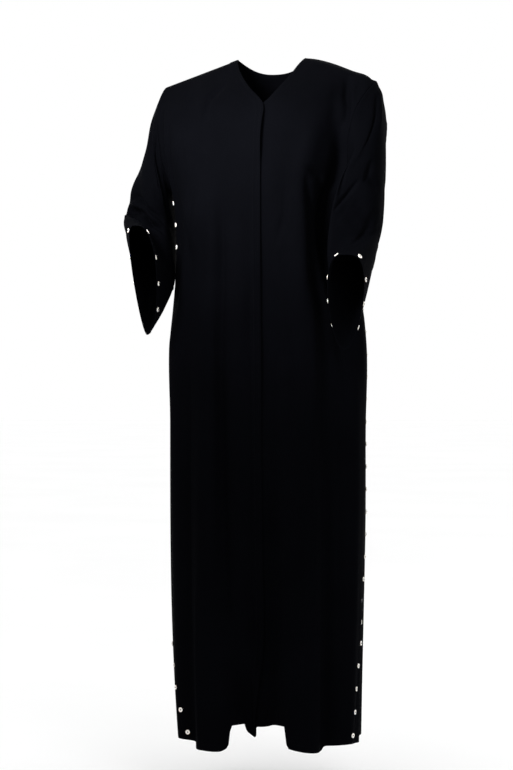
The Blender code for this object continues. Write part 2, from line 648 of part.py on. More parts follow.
def rim(place, out, height, radius, sides):
    """Points round a circle above a place on the cloth."""
    side = unit(np.cross((0.0, 0.0, 1.0), out))
    up = np.cross(out, side)
    turns = 2 * math.pi * np.arange(sides) / sides
    ways = side * np.cos(turns)[:, None] + up * np.sin(turns)[:, None]
    return place + out * height + ways * radius


def feel(skin, points, out):
    """Where the cloth lies under or over each point, along one direction."""
    hits = [skin.ray_cast(point + out * BUTTON_FEEL, -out, 2 * BUTTON_FEEL)[0] for point in points]
    return np.array([point if hit is None else hit for hit, point in zip(hits, points)])


def button(name, place, out, skin, surface):
    """A round button whose back lies just off the highest cloth under it, and level with the rest."""
    felt = feel(skin, rim(place, out, 0.0, BUTTON_RADIUS, BUTTON_SIDES), out)
    out = unit(np.cross(felt, np.roll(felt, -1, axis=0)).sum(axis=0))
    circles = [rim(place, out, 0.0, BUTTON_RADIUS * share, 2 * BUTTON_SIDES) for share in BUTTON_FELT]
    low = ((feel(skin, np.concatenate(circles), out) - place) @ out).max() + BUTTON_LIFT
    back = rim(place, out, low, BUTTON_RADIUS, BUTTON_SIDES)
    face = rim(place, out, low + BUTTON_HEIGHT, BUTTON_RADIUS * BUTTON_FACE, BUTTON_SIDES)
    count = BUTTON_SIDES
    faces = [tuple(range(count))[::-1], tuple(range(count, 2 * count))]
    faces += [(n, (n + 1) % count, count + (n + 1) % count, count + n) for n in range(count)]
    return add_object(name, np.concatenate([back, face]), faces, surface)


def facet(grid, row, column, down, across):
    """A place on one of a grid's faces, and the direction square to its columns and rows."""
    after = (column + 1) % grid.shape[1]
    a, b = grid[row, column], grid[row, after]
    c, d = grid[row + 1, column], grid[row + 1, after]
    place = (a * (1 - across) + b * across) * (1 - down) + (c * (1 - across) + d * across) * down
    return place, unit(np.cross((b + d - a - c), (c + d - a - b)))


def walk(points, distance):
    """Index and share of the place at a distance along a line of points."""
    lengths = np.linalg.norm(np.diff(points, axis=0), axis=1)
    ends = np.concatenate([[0], np.cumsum(lengths)])
    index = int(np.clip(np.searchsorted(ends, distance) - 1, 0, len(lengths) - 1))
    return index, (distance - ends[index]) / lengths[index]


def side_buttons(name, grid, left, skin, surface):
    """Buttons up the side seam of one front, counted from the hem."""
    edge = grid[::-1, -1]
    for number in range(SIDE_BUTTONS):
        step, share = walk(edge, SIDE_BUTTON_HEM + number * BUTTON_PITCH)
        row = len(grid) - 2 - step
        line = (grid[row] * share + grid[row + 1] * (1 - share))[::-1]
        column, past = walk(line, SIDE_BUTTON_INSET)
        place, out = facet(grid, row, grid.shape[1] - 2 - column, 1 - share, 1 - past)
        button(f"{name}_{number + 1:02d}", place, -out if left else out, skin, surface)


def cuff_buttons(name, grid, left, skin, surface):
    """Buttons round one sleeve's hem, the first at its lowest point."""
    hem = np.concatenate([grid[-1], grid[-1][:1]])
    total = np.linalg.norm(np.diff(hem, axis=0), axis=1).sum()
    low = np.linalg.norm(np.diff(hem[:len(hem) // 2 + 1], axis=0), axis=1).sum()
    for number in range(CUFF_BUTTONS):
        column, across = walk(hem, (low + total * number / CUFF_BUTTONS) % total)
        depth = np.linalg.norm(grid[-1, column] - grid[-2, column])
        place, out = facet(grid, len(grid) - 2, column, 1 - CUFF_BUTTON_INSET / depth, across)
        button(f"{name}_{number + 1:02d}", place, out if left else -out, skin, surface)


def groove(total, first, second):
    """The direction out of a seam whose pieces leave it at a sharp angle.

    Their summed normals are too short to trust there, so the two ways in which
    the pieces leave the seam are added.
    """
    trust = np.clip(np.linalg.norm(total, axis=-1, keepdims=True), 0, 1)
    return unit(total + (unit(first) + unit(second)) * (1 - trust))


def share_seams(grid, normals, key, edge):
    """Give the pieces that meet at a shoulder, side or armhole seam one direction there."""
    rows = YOKE_ROWS + CHEST_ROWS
    front, back, sleeve = normals[key], normals["back"], normals["sleeve_" + key]
    arm, body, rear = grid["sleeve_" + key], grid[key], grid["back"]
    columns = sleeve.shape[1]
    shoulder = slice(-FRONT_COLUMNS - 1, None) if edge == -1 else slice(FRONT_COLUMNS, None, -1)
    beside = -2 if edge == -1 else 1
    front[0] = back[0, shoulder] = unit(front[0] + back[0, shoulder])
    front[rows:, -1] = back[rows:, edge] = unit(front[rows:, -1] + back[rows:, edge])
    for row in range(rows + 1):
        behind = (columns - row) % columns
        leaving, leaving_behind = arm[1, row] - arm[0, row], arm[1, behind] - arm[0, behind]
        if row in (0, rows):
            total = unit(front[row, -1] + back[row, edge]) + sleeve[0, row]
            down = body[row + 1, -1] - body[row, -1]
            front[row, -1] = back[row, edge] = sleeve[0, row] = groove(total, leaving, down)
        else:
            inwards = body[row, -2] - body[row, -1]
            front[row, -1] = sleeve[0, row] = groove(front[row, -1] + sleeve[0, row], leaving, inwards)
            inwards = rear[row, beside] - rear[row, edge]
            total = back[row, edge] + sleeve[0, behind]
            back[row, edge] = sleeve[0, behind] = groove(total, leaving_behind, inwards)


def main():
    """Build the whole garment."""
    for old in list(bpy.data.objects):
        bpy.data.objects.remove(old, do_unlink=True)
    cloth = material("black_crepe", CLOTH_COLOUR, CLOTH_ROUGHNESS)
    pearl = material("pearl_shell", BUTTON_COLOUR, BUTTON_ROUGHNESS)

    places = {"right": front_places(False), "left": front_places(True), "back": back_places()}
    grid = {key: body_point(*place, key == "back") for key, place in places.items()}
    normals = {key: body_normals(*place, key == "back") for key, place in places.items()}
    for key, edge in (("right", 0), ("left", -1)):
        side = key == "left"
        grid["sleeve_" + key] = sleeve_grid(side, grid[key], grid["back"])
        normals["sleeve_" + key] = tube_normals(grid["sleeve_" + key], side)
        share_seams(grid, normals, key, edge)

    swing = track(LAP_SWING[:, 0], LAP_SWING[:, 1], places["left"][1])
    under = 1 - ease((girth_x(*places["left"]) - swing - LAP - LAP_PAST) / LAP_RISE)
    grid["left"] = grid["left"] - normals["left"] * (LAP_DROP * under)[..., None]

    cut = {key: points.copy() for key, points in grid.items()}
    for key, edge in (("right", 0), ("left", -1)):
        part_seams(cut, key, edge)
    made = [
        cloth_solid("front_right", cut["right"], normals["right"], False, False, cloth),
        cloth_solid("front_left", cut["left"], normals["left"], False, True, cloth),
        cloth_solid("back", cut["back"], normals["back"], False, False, cloth),
        cloth_solid("sleeve_right", cut["sleeve_right"], normals["sleeve_right"], True, True, cloth),
        cloth_solid("sleeve_left", cut["sleeve_left"], normals["sleeve_left"], True, False, cloth),
    ]
    skin = cloth_skin(made)
    for key in ("right", "left"):
        side_buttons("side_button_" + key, cut[key], key == "left", skin, pearl)
        cuff_buttons("cuff_button_" + key, cut["sleeve_" + key], key == "left", skin, pearl)


main()
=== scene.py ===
"""A black crepe abaya with pearl buttons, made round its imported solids."""

import functools
import math

import bmesh
import bpy
import numpy as np
from bpy.props import FloatProperty, FloatVectorProperty, IntProperty, PointerProperty
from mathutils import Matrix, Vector
from mathutils.bvhtree import BVHTree


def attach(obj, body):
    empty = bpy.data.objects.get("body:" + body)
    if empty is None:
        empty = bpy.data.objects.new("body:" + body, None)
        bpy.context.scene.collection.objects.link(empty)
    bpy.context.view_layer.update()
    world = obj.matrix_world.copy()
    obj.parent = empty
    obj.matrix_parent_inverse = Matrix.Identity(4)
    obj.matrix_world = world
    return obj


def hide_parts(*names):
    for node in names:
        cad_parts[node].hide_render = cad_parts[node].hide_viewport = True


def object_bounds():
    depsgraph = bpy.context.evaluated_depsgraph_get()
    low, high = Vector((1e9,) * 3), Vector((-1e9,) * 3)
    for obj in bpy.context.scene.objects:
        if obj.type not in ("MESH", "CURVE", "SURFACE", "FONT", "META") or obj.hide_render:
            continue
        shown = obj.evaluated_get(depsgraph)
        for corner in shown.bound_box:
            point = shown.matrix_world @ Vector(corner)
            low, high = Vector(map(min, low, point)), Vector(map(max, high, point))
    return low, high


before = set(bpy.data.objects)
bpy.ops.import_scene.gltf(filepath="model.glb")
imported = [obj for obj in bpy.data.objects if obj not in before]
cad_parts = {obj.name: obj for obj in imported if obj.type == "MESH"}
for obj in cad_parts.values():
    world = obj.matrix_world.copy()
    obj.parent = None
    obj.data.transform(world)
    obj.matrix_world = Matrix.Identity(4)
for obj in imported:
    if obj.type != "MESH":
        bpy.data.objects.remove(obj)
cad_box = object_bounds()

bl_info = {
    "name": "Black abaya",
    "version": (1, 0, 0),
    "blender": (4, 5, 0),
    "location": "3D View > Sidebar > Abaya",
    "description": "Makes a black crepe abaya with pearl buttons, its stitching and a pale stage",
    "category": "Object",
}

# The garment's sizes in metres
SEAM_GAP = 0.00012  # clear gap between two pieces at a seam
SEAM_SINK = 0.0005  # how far a seam lies below the cloth beside it
LAP = 0.0115  # the front edges pass the centre line by this much
LAP_DROP = 0.0026  # how far the under front lies behind the upper one
LAP_PAST = 0.004  # how far past the lap's edge the under front stays behind
LAP_RISE = 0.016  # width over which it then comes up flush again
PLACKET_WIDTH = 0.017  # the folded edge of the upper front
PLACKET_RISE = 0.0011  # how far its doubled cloth stands up
PLACKET_STEP = 0.0018  # width of the step down from it
NECK_HALF = 0.0715  # centre line to neck point
SHOULDER_HALF = 0.2140  # centre line to shoulder tip
SHOULDER_DROP = 0.058  # neck point down to shoulder tip
LEFT_SHOULDER_ARCH = 1.45  # how much the raised left shoulder seam arches (1 is straight)
LEFT_SHOULDER_LUMP = (0.200, 0.020, 0.0047)  # how it swells over the worn shoulder: x, half width, lift
LEFT_SHOULDER_TIP = (0.205, 0.018, 0.004)  # how it falls off past that: x, width, drop
SHOULDER_FORWARD = 0.045  # neck point forward to shoulder tip
BACK_NECK_DROP = 0.026  # neck points down to the neckline at the centre back
UNDERARM = -0.271  # height of the underarm points
FRONT_ROUND = 0.17  # drop over which the front comes forward from the shoulder
BACK_ROUND = 0.13  # the same at the back
RING_POWER = 2.3  # squareness of the body's rings

# How rows and columns run, folds fall and creases end
YOKE_BUNCH = 1.35  # how much the yoke's rows crowd towards the shoulder
YOKE_FALL = 0.040  # the yoke's last row hangs this much lower at the armhole than at the V
LAP_STRAIGHTEN = 2.5  # the lap is straight after this share of the chest, as one over it
BACK_WIDEN = 1.6  # stage by which the back's columns have spread to the armholes
NECKLINE_POWER = 2.4  # how flat the back neckline runs at the centre
FOLD_DEEPEN = 1.3  # how a fold's lift grows down its length
FOLD_EDGE = 2.2  # how steep a fold's sides are
SIDE_LIFT_FROM, SIDE_LIFT_OVER = 0.02, 0.10  # folds move the sides only below the underarm
SLEEVE_SWELL = 0.8  # how early a spiral ring opens out from its fold
SLEEVE_TAPER = 0.30  # how much a full ring narrows again towards its bottom
CREASE_ENDS = 0.55  # a sleeve crease's lift at its ends, as a share of that at its middle
CREASE_FADES = (0.6, 5.4, 0.6, 0.6)  # creases: rings they start over, ring and rings they fade over, share
BODY_CREASES = 2.0  # how deeply the small creases are worn into the body
SLEEVE_CREASES = 1.9  # the same for the sleeves
BENT_ENDS, BENT_SWELL = 0.25, 0.8  # a bent crease's lift at its ends, and how soon it grows from them
OFF_END = 0.001  # a bent crease's lift is read this share inside its ends
FINE_FROM, FINE_OVER = 0.002, 0.03  # small creases start this far below the shoulder, and grow over this
PLAIN_FEEL = (0.6, 0.003)  # steps in degrees and metres that tell which way the body's folds face
DRESSED_FEEL = (0.4, 0.002)  # the same for its small creases

# The edges of the cloth
HEM_STEP = 0.0014  # width of the step where a turned-up edge ends inside
HEM_LAYER = 0.9  # what the turned-up layer adds, as a share of the cloth
PRESSED_BY, PRESSED_OVER = 0.45, 0.0012  # how much thinner an edge is pressed, and over which width
PRESSED_IN = 0.3  # how much of that the outer face gives way
WORN_OVER, WORN_BY = 0.004, 0.10  # width over which an edge is worn smoother, and by how much

# The buttons.  Sizes with no unit are shares of a button's radius or height
SIDE_BUTTON_HEM = 0.017  # hem to the middle of the lowest side button
SIDE_BUTTON_TOP = 0.012  # room that is left below the underarm
SIDE_BUTTON_INSET = 0.011  # side seam to the middle of a button
SOLID_SIDE_BUTTONS = 17  # of a seam's buttons, those that are solids
BUTTON_DISH = ((0.22, 0.0), (0.12, 0.16), (0.14, 0.07))  # rim, slope, floor: width, how far down
BUTTON_ROUNDING = ((1.0, 0.30, 3), (0.0, 0.22, 2))  # top and bottom edge: height, rounding, faces
HOLES_OUT = 0.24  # middle of the button to the middle of a hole
THREAD_IN_HOLE = 0.34  # thickness of a button's thread, as a share of the hole
BUTTON_STITCHES = ((45, 1.0), (135, 2.2))  # turn of each stitch, and how far it clears the dish
BUTTON_TURNS = (0.55, 2.3, 0.7)  # how unevenly a row is turned: most, step and start
FEEL_POINTS, FEEL_REACH = 12, 0.008  # places felt round a button, how far the cloth is looked for
SEAT_CLEAR = 0.00015  # gap between a button and the cloth
FLAT_WITHIN = 1e-5  # points this near to a flat end belong to it

# The stitching
HEM_STITCH = 0.0125  # hem to its stitching
NECK_STITCH = 0.0060  # front edge and neckline to their stitching
PLACKET_STITCH = 0.015  # front edge to the line down the placket
STITCH_HALF = 0.40  # half of a stitch, as a share of the distance from stitch to stitch
STITCH_SINK, STITCH_RISE = 0.6, 0.5  # how far its ends lie under and its middle over the cloth
STITCH_POINTS = 10

# How much cloth of each piece shows, seam to seam or edge: width, length, area in square metres
CUTS = {
    "front_right": (0.37, 1.49, 0.395),
    "front_left": (0.41, 1.51, 0.440),
    "back": (0.74, 1.44, 0.710),
    "sleeve_right": (0.53, 0.46, 0.152),
    "sleeve_left": (0.55, 0.47, 0.141),
}

# The camera of the photograph: turn round the garment in degrees, metres, millimetres
CAMERA_TURN = 12.0
CAMERA_AWAY = 3.9
CAMERA_ASIDE = -0.034
CAMERA_LEVEL = -0.67
CAMERA_LENS = 88.6
CAMERA_SENSOR = 36.0
CAMERA_CLIP = (0.1, 60.0)

# The lights.  Name, place, what it points at, size, beam in degrees
LIGHTS = (
    ("key", (-0.40, -1.15, 0.12), (0.0, -0.1, -0.19), 0.5, 46),
    ("fill", (1.0, -1.6, 0.00), (0.0, -0.1, -0.2), 1.0, 180),
    ("rear", (0.7, 1.6, 0.60), (0.0, -0.1, -0.2), 1.0, 180),
)
FLOOR_RADIUS = 40.0

FRONT_COLUMNS = 68  # faces across one front panel
NECK_COLUMNS = 16  # faces across the back neckline
LAP_COLUMNS = 12  # of the front's faces, those in the lap
YOKE_ROWS = 26  # shoulder to the bottom of the V
CHEST_ROWS = 26  # V to underarm
ARM_ROWS = YOKE_ROWS + CHEST_ROWS
SKIRT_ROWS = 120  # underarm to the top of the turned-up hem
SLEEVE_ROWS = 96  # armhole to the top of the turned-up sleeve hem
SLEEVE_LENGTH = 0.50  # along a sleeve, for the depth of its hem
BACK_EDGES = {"right": 0, "left": -1}  # the back's outermost column on each side

# The body's rings.  z, right_half, left_half, front_y, back_y, centre_y
BODY = np.array([
    (0.000, 0.300, 0.300, -0.100, 0.050, -0.045),
    (-0.040, 0.296, 0.296, -0.115, 0.056, -0.045),
    (-0.080, 0.284, 0.284, -0.143, 0.066, -0.046),
    (-0.120, 0.264, 0.262, -0.162, 0.072, -0.048),
    (-0.160, 0.244, 0.236, -0.172, 0.073, -0.050),
    (-0.200, 0.226, 0.213, -0.178, 0.071, -0.053),
    (-0.240, 0.209, 0.193, -0.181, 0.067, -0.056),
    (-0.271, 0.198, 0.180, -0.182, 0.064, -0.058),
    (-0.350, 0.188, 0.168, -0.182, 0.058, -0.060),
    (-0.460, 0.189, 0.179, -0.181, 0.055, -0.060),
    (-0.520, 0.194, 0.197, -0.180, 0.056, -0.060),
    (-0.570, 0.199, 0.203, -0.180, 0.058, -0.060),
    (-0.750, 0.1990, 0.203, -0.179, 0.061, -0.060),
    (-0.900, 0.1985, 0.202, -0.178, 0.062, -0.059),
    (-1.100, 0.1950, 0.197, -0.176, 0.064, -0.058),
    (-1.300, 0.1870, 0.191, -0.174, 0.066, -0.057),
    (-1.420, 0.1800, 0.187, -0.172, 0.067, -0.056),
])

# The armhole seams.  z, right_front_x, right_back_x, left_front_x, left_back_x
ARMHOLE = np.array([
    (-0.058, -0.2140, -0.2140, 0.2230, 0.2230),
    (-0.090, -0.2190, -0.2170, 0.2060, 0.2180),
    (-0.120, -0.2195, -0.2150, 0.1920, 0.2150),
    (-0.160, -0.2160, -0.2110, 0.1800, 0.2090),
    (-0.200, -0.2110, -0.2060, 0.1740, 0.2010),
    (-0.240, -0.2040, -0.2010, 0.1750, 0.1900),
    (-0.258, -0.2005, -0.2000, 0.1805, 0.1845),
    (-0.271, -0.1980, -0.1980, 0.1800, 0.1800),
])

# The side seams.  z, right_angle, left_angle.  Angle 0 is the centre front,
# +90 the wearer's left side, -90 the right side and 180 the centre back.
SIDE_SEAM = np.array([
    (-0.271, -90, 90),
    (-0.300, -82, 92),
    (-0.345, -79, 96),
    (-0.385, -80, 101),
    (-0.425, -90, 106),
    (-0.490, -98, 112),
    (-0.560, -99, 115),
    (-0.680, -99, 118),
    (-0.860, -98, 118),
    (-0.960, -98, 117),
    (-1.040, -97, 112),
    (-1.100, -95, 101),
    (-1.150, -90, 89),
    (-1.170, -85, 85),
    (-1.210, -76, 80),
    (-1.300, -60, 75),
    (-1.390, -50, 68),
])

# The edges of the V.  x, z from the neck point to the end of the lap
V_RIGHT = np.array([
    (-0.0715, 0.000),
    (-0.0520, -0.037),
    (-0.0225, -0.076),
    (0.0072, -0.107),
    (0.0140, -0.126),
])
V_LEFT = np.array([
    (0.0715, 0.000),
    (0.0511, -0.0474),
    (0.0295, -0.0848),
    (0.0060, -0.1120),
    (-0.0115, -0.1260),
])

# Where the lap wanders to at the bottom of the skirt.  z, x
LAP_SWING = np.array([
    (-1.100, 0.000),
    (-1.200, -0.005),
    (-1.290, -0.018),
    (-1.380, -0.0355),
])

# The height of the hem round the body.  angle, z
HEM = np.array([
    (-180, -1.375),
    (-130, -1.380),
    (-90, -1.382),
    (-60, -1.381),
    (-46, -1.384),
    (-41, -1.393),
    (-30, -1.393),
    (-20.5, -1.396),
    (-17.0, -1.389),
    (-15.3, -1.347),
    (-10.6, -1.348),
    (-9.8, -1.363),
    (-7.0, -1.375),
    (-5.4, -1.378),
    (-4.4, -1.357),
    (4, -1.352),
    (14.8, -1.343),
    (16.4, -1.385),
    (34, -1.391),
    (43, -1.393),
    (46, -1.384),
    (62, -1.381),
    (90, -1.385),
    (130, -1.381),
    (180, -1.375),
])

# The body's folds.  Each row is one ridge (lift above 0) or trough (below 0):
# top_z, bottom_z, top_angle, bottom_angle, top_width, bottom_width (degrees),
# top_lift, bottom_lift, fade_top, fade_bottom (metres)
FOLDS = np.array([
    # front skirt, from the wearer's right to the left
    (-0.55, -1.45, -62.0, -58.0, 11.0, 9.0, 0.004, 0.008, 0.20, 0.01),
    (-0.45, -1.45, -46.0, -47.0, 7.0, 6.0, -0.003, -0.012, 0.20, 0.01),
    (-0.40, -1.45, -25.0, -30.0, 8.0, 9.0, 0.007, 0.022, 0.20, 0.01),
    (-0.42, -1.10, -18.5, -17.0, 3.2, 4.0, -0.012, -0.016, 0.16, 0.12),
    (-0.42, -1.20, -8.0, -6.5, 5.0, 4.5, 0.006, 0.008, 0.20, 0.15),
    (-0.50, -1.15, 5.5, 3.0, 4.5, 6.0, -0.011, -0.020, 0.20, 0.15),
    (-1.00, -1.45, -6.0, -8.0, 7.0, 7.5, -0.004, -0.085, 0.20, 0.01),
    (-1.00, -1.45, 4.0, 5.5, 7.0, 7.5, -0.004, -0.085, 0.20, 0.01),
    (-0.40, -1.45, 26.0, 29.0, 8.0, 8.5, 0.008, 0.024, 0.20, 0.01),
    (-0.38, -1.45, 39.0, 44.5, 6.0, 7.0, -0.010, -0.017, 0.16, 0.01),
    (-0.50, -1.45, 66.0, 64.0, 10.0, 9.0, 0.004, 0.010, 0.20, 0.01),
    # front chest and waist
    (-0.11, -0.36, 32.0, 64.0, 9.0, 14.0, -0.024, -0.028, 0.08, 0.12),
    (-0.24, -0.57, 58.0, 60.0, 14.0, 13.0, -0.028, -0.024, 0.12, 0.15),
    (-0.20, -0.45, 27.0, 25.0, 7.0, 7.0, 0.008, 0.006, 0.09, 0.14),
    (-0.05, -0.20, -28.0, -29.0, 4.0, 5.0, -0.005, -0.003, 0.03, 0.08),
    (-0.16, -0.42, -36.0, -52.0, 9.0, 11.0, 0.006, 0.004, 0.08, 0.14),
    (-0.16, -0.46, -58.0, -66.0, 10.0, 9.0, -0.006, -0.010, 0.12, 0.14),
    # sides and back
    (-0.60, -1.45, -96.0, -98.0, 8.0, 8.0, -0.003, -0.009, 0.25, 0.01),
    (-0.45, -1.45, -122.0, -126.0, 9.0, 9.0, 0.006, 0.018, 0.25, 0.01),
    (-0.35, -1.45, -143.0, -146.0, 7.0, 7.5, -0.008, -0.022, 0.25, 0.01),
    (-0.22, -1.45, -163.0, -165.0, 7.0, 8.0, 0.007, 0.020, 0.15, 0.01),
    (-0.30, -1.45, 176.0, 178.0, 6.5, 7.0, -0.009, -0.024, 0.22, 0.01),
    (-0.24, -1.45, 158.0, 160.0, 7.5, 8.0, 0.008, 0.022, 0.15, 0.01),
    (-0.40, -1.45, 139.0, 141.0, 7.0, 7.5, -0.007, -0.020, 0.25, 0.01),
    (-0.50, -1.45, 119.0, 121.0, 9.0, 9.0, 0.005, 0.016, 0.25, 0.01),
    (-0.60, -1.45, 98.0, 99.0, 8.0, 8.0, -0.003, -0.010, 0.25, 0.01),
])

# The sleeves' rings after the armhole, one row a ring.  top x, y, z (the fold
# over the arm), bottom x, y, z (the seam side), front reach x, y and back
# reach x, y from the line between them, how far the ring's fullness sits
# towards the top (1 is none), and how upright the ring stands (0 spirals round
# the arm, 1 lies in one plane)
SLEEVE_RIGHT = np.array([
    (-0.2400, -0.046, -0.118, -0.2030, -0.046, -0.288, -0.001, -0.064, 0.000, 0.052, 1.00, 0.0),
    (-0.2570, -0.046, -0.186, -0.2005, -0.034, -0.335, 0.008, -0.068, 0.000, 0.054, 1.00, 0.0),
    (-0.2855, -0.048, -0.256, -0.1995, -0.022, -0.400, 0.018, -0.070, -0.004, 0.050, 1.00, 0.1),
    (-0.2960, -0.066, -0.314, -0.2010, -0.050, -0.466, 0.038, -0.054, -0.008, 0.038, 1.10, 0.5),
    (-0.2740, -0.142, -0.338, -0.2085, -0.125, -0.524, 0.048, -0.020, -0.016, 0.012, 1.30, 1.0),
    (-0.2330, -0.226, -0.356, -0.2135, -0.200, -0.571, 0.038, -0.004, -0.018, 0.006, 1.45, 1.0),
])
SLEEVE_LEFT = np.array([
    (0.2385, -0.045, -0.115, 0.1920, -0.057, -0.288, -0.020, -0.082, 0.000, 0.052, 1.00, 0.0),
    (0.2415, -0.048, -0.190, 0.1900, -0.062, -0.328, -0.044, -0.100, 0.000, 0.054, 1.00, 0.0),
    (0.2400, -0.058, -0.272, 0.1900, -0.072, -0.385, -0.060, -0.104, 0.000, 0.050, 1.00, 0.0),
    (0.2350, -0.086, -0.346, 0.1910, -0.100, -0.460, -0.066, -0.096, 0.006, 0.036, 1.10, 0.3),
    (0.2200, -0.156, -0.388, 0.1935, -0.160, -0.540, -0.056, -0.045, 0.018, 0.014, 1.30, 1.0),
    (0.1890, -0.236, -0.420, 0.1840, -0.216, -0.603, -0.036, -0.002, 0.039, 0.006, 1.50, 1.0),
])

# The sleeves' creases.  ring_from, round_from, ring_to, round_to, half_width
# and lift in metres.  Round 0 is the top, 0.25 the front, 0.5 the bottom.
CREASES_RIGHT = np.array([
    (0.4, 0.24, 2.4, 0.42, 0.022, -0.007),
    (0.8, 0.10, 2.2, 0.26, 0.022, -0.006),
    (3.6, 0.02, 4.6, 0.20, 0.020, -0.009),
    (2.6, 0.04, 4.0, 0.30, 0.022, -0.008),
    (4.4, 0.05, 5.4, 0.12, 0.022, 0.004),
    (0.8, 0.80, 3.2, 0.66, 0.026, -0.008),
    (1.6, 0.92, 4.0, 0.78, 0.026, -0.008),
])
CREASES_LEFT = np.array([
    (0.8, 0.06, 1.8, 0.13, 0.024, -0.005),
    (2.2, 0.22, 3.4, 0.10, 0.022, -0.006),
    (3.2, 0.16, 4.6, 0.05, 0.022, -0.006),
    (0.8, 0.82, 3.2, 0.68, 0.026, -0.008),
    (1.8, 0.93, 4.2, 0.80, 0.026, -0.008),
])
SPIRAL_EASE = 0.6  # how much a spiral ring levels out at the front and the back of the arm
RIGHT_BOX, LEFT_BOX = 0.0, 1.0  # how square the upper front of a sleeve's spiral rings is
BOX_FRONT = 0.4  # how much sooner a square ring reaches forward
RING_STEP = 0.075  # length of sleeve between two rings, for the creases
ROUND_STEP = 0.46  # length round a sleeve, for the creases

# How the hem and the sleeve hems are turned up: heights above the edge, in metres
HEM_STEPS = (0.0150, 0.0136, 0.0080, 0.0035, 0.0010, 0.0000)

# Small creases that only the dressed cloth has.  Each is a bent line: three
# places x and z on the front (or the back), half_width and lift in metres
CREASES_FRONT = np.array([
    # the wearer's right chest and side
    (-0.0822, -0.062, -0.1050, -0.099, -0.1100, -0.150, 0.0050, -0.0030),
    (-0.0750, -0.078, -0.0980, -0.106, -0.0990, -0.142, 0.0060, 0.0010),
    (-0.1467, -0.119, -0.1386, -0.198, -0.1245, -0.227, 0.0070, -0.0018),
    (-0.1620, -0.120, -0.1560, -0.190, -0.1480, -0.260, 0.0110, -0.0020),
    (-0.2060, -0.115, -0.2010, -0.195, -0.1930, -0.268, 0.0040, -0.0046),
    (-0.1970, -0.110, -0.1925, -0.190, -0.1865, -0.275, 0.0050, 0.0020),
    (-0.1890, -0.150, -0.1850, -0.215, -0.1800, -0.285, 0.0050, -0.0022),
    (-0.0930, -0.190, -0.1150, -0.270, -0.1320, -0.400, 0.0160, 0.0020),
    (-0.1080, -0.210, -0.1300, -0.290, -0.1450, -0.390, 0.0120, -0.0022),
    (-0.1660, -0.300, -0.1550, -0.350, -0.1350, -0.430, 0.0110, -0.0020),
    # beside the closure
    (0.0607, -0.290, 0.0587, -0.335, 0.0405, -0.400, 0.0042, -0.0022),
    (0.0690, -0.300, 0.0660, -0.345, 0.0500, -0.405, 0.0050, 0.0012),
    (0.0567, -0.335, 0.0600, -0.360, 0.0627, -0.385, 0.0038, -0.0014),
    (-0.0060, -0.460, -0.0100, -0.540, -0.0080, -0.640, 0.0060, -0.0014),
    # the wearer's left chest, from the shoulder to the armhole
    (0.1665, -0.052, 0.1690, -0.092, 0.1715, -0.150, 0.0062, -0.0070),
    (0.1790, -0.055, 0.1800, -0.085, 0.1790, -0.125, 0.0060, 0.0024),
    (0.1540, -0.060, 0.1500, -0.100, 0.1480, -0.150, 0.0100, -0.0020),
    (0.1600, -0.130, 0.1590, -0.215, 0.1430, -0.350, 0.0155, -0.0072),
    (0.1320, -0.300, 0.1250, -0.260, 0.1030, -0.245, 0.0080, -0.0030),
    (0.1020, -0.262, 0.1090, -0.330, 0.1150, -0.420, 0.0060, -0.0045),
    (0.0880, -0.290, 0.0940, -0.370, 0.1000, -0.480, 0.0110, 0.0022),
    # the skirt
    (-0.0830, -0.560, -0.0850, -0.800, -0.0850, -1.050, 0.0055, 0.0022),
    (-0.0720, -0.520, -0.0730, -0.760, -0.0750, -0.980, 0.0050, -0.0026),
    (-0.0160, -0.620, -0.0140, -0.860, -0.0180, -1.080, 0.0060, 0.0016),
    (0.1060, -0.480, 0.1080, -0.760, 0.1120, -1.100, 0.0050, 0.0026),
    (0.0760, -0.560, 0.0800, -0.820, 0.0830, -1.090, 0.0090, -0.0022),
    (-0.1420, -0.600, -0.1450, -0.860, -0.1430, -1.200, 0.0080, -0.0020),
    (0.1580, -0.640, 0.1620, -0.930, 0.1600, -1.260, 0.0080, -0.0022),
    (0.0520, -0.900, 0.0560, -1.100, 0.0500, -1.330, 0.0070, 0.0014),
    (-0.1130, -1.050, -0.1120, -1.200, -0.1050, -1.380, 0.0055, 0.0020),
    (0.1180, -1.150, 0.1150, -1.270, 0.1180, -1.385, 0.0055, 0.0024),
])
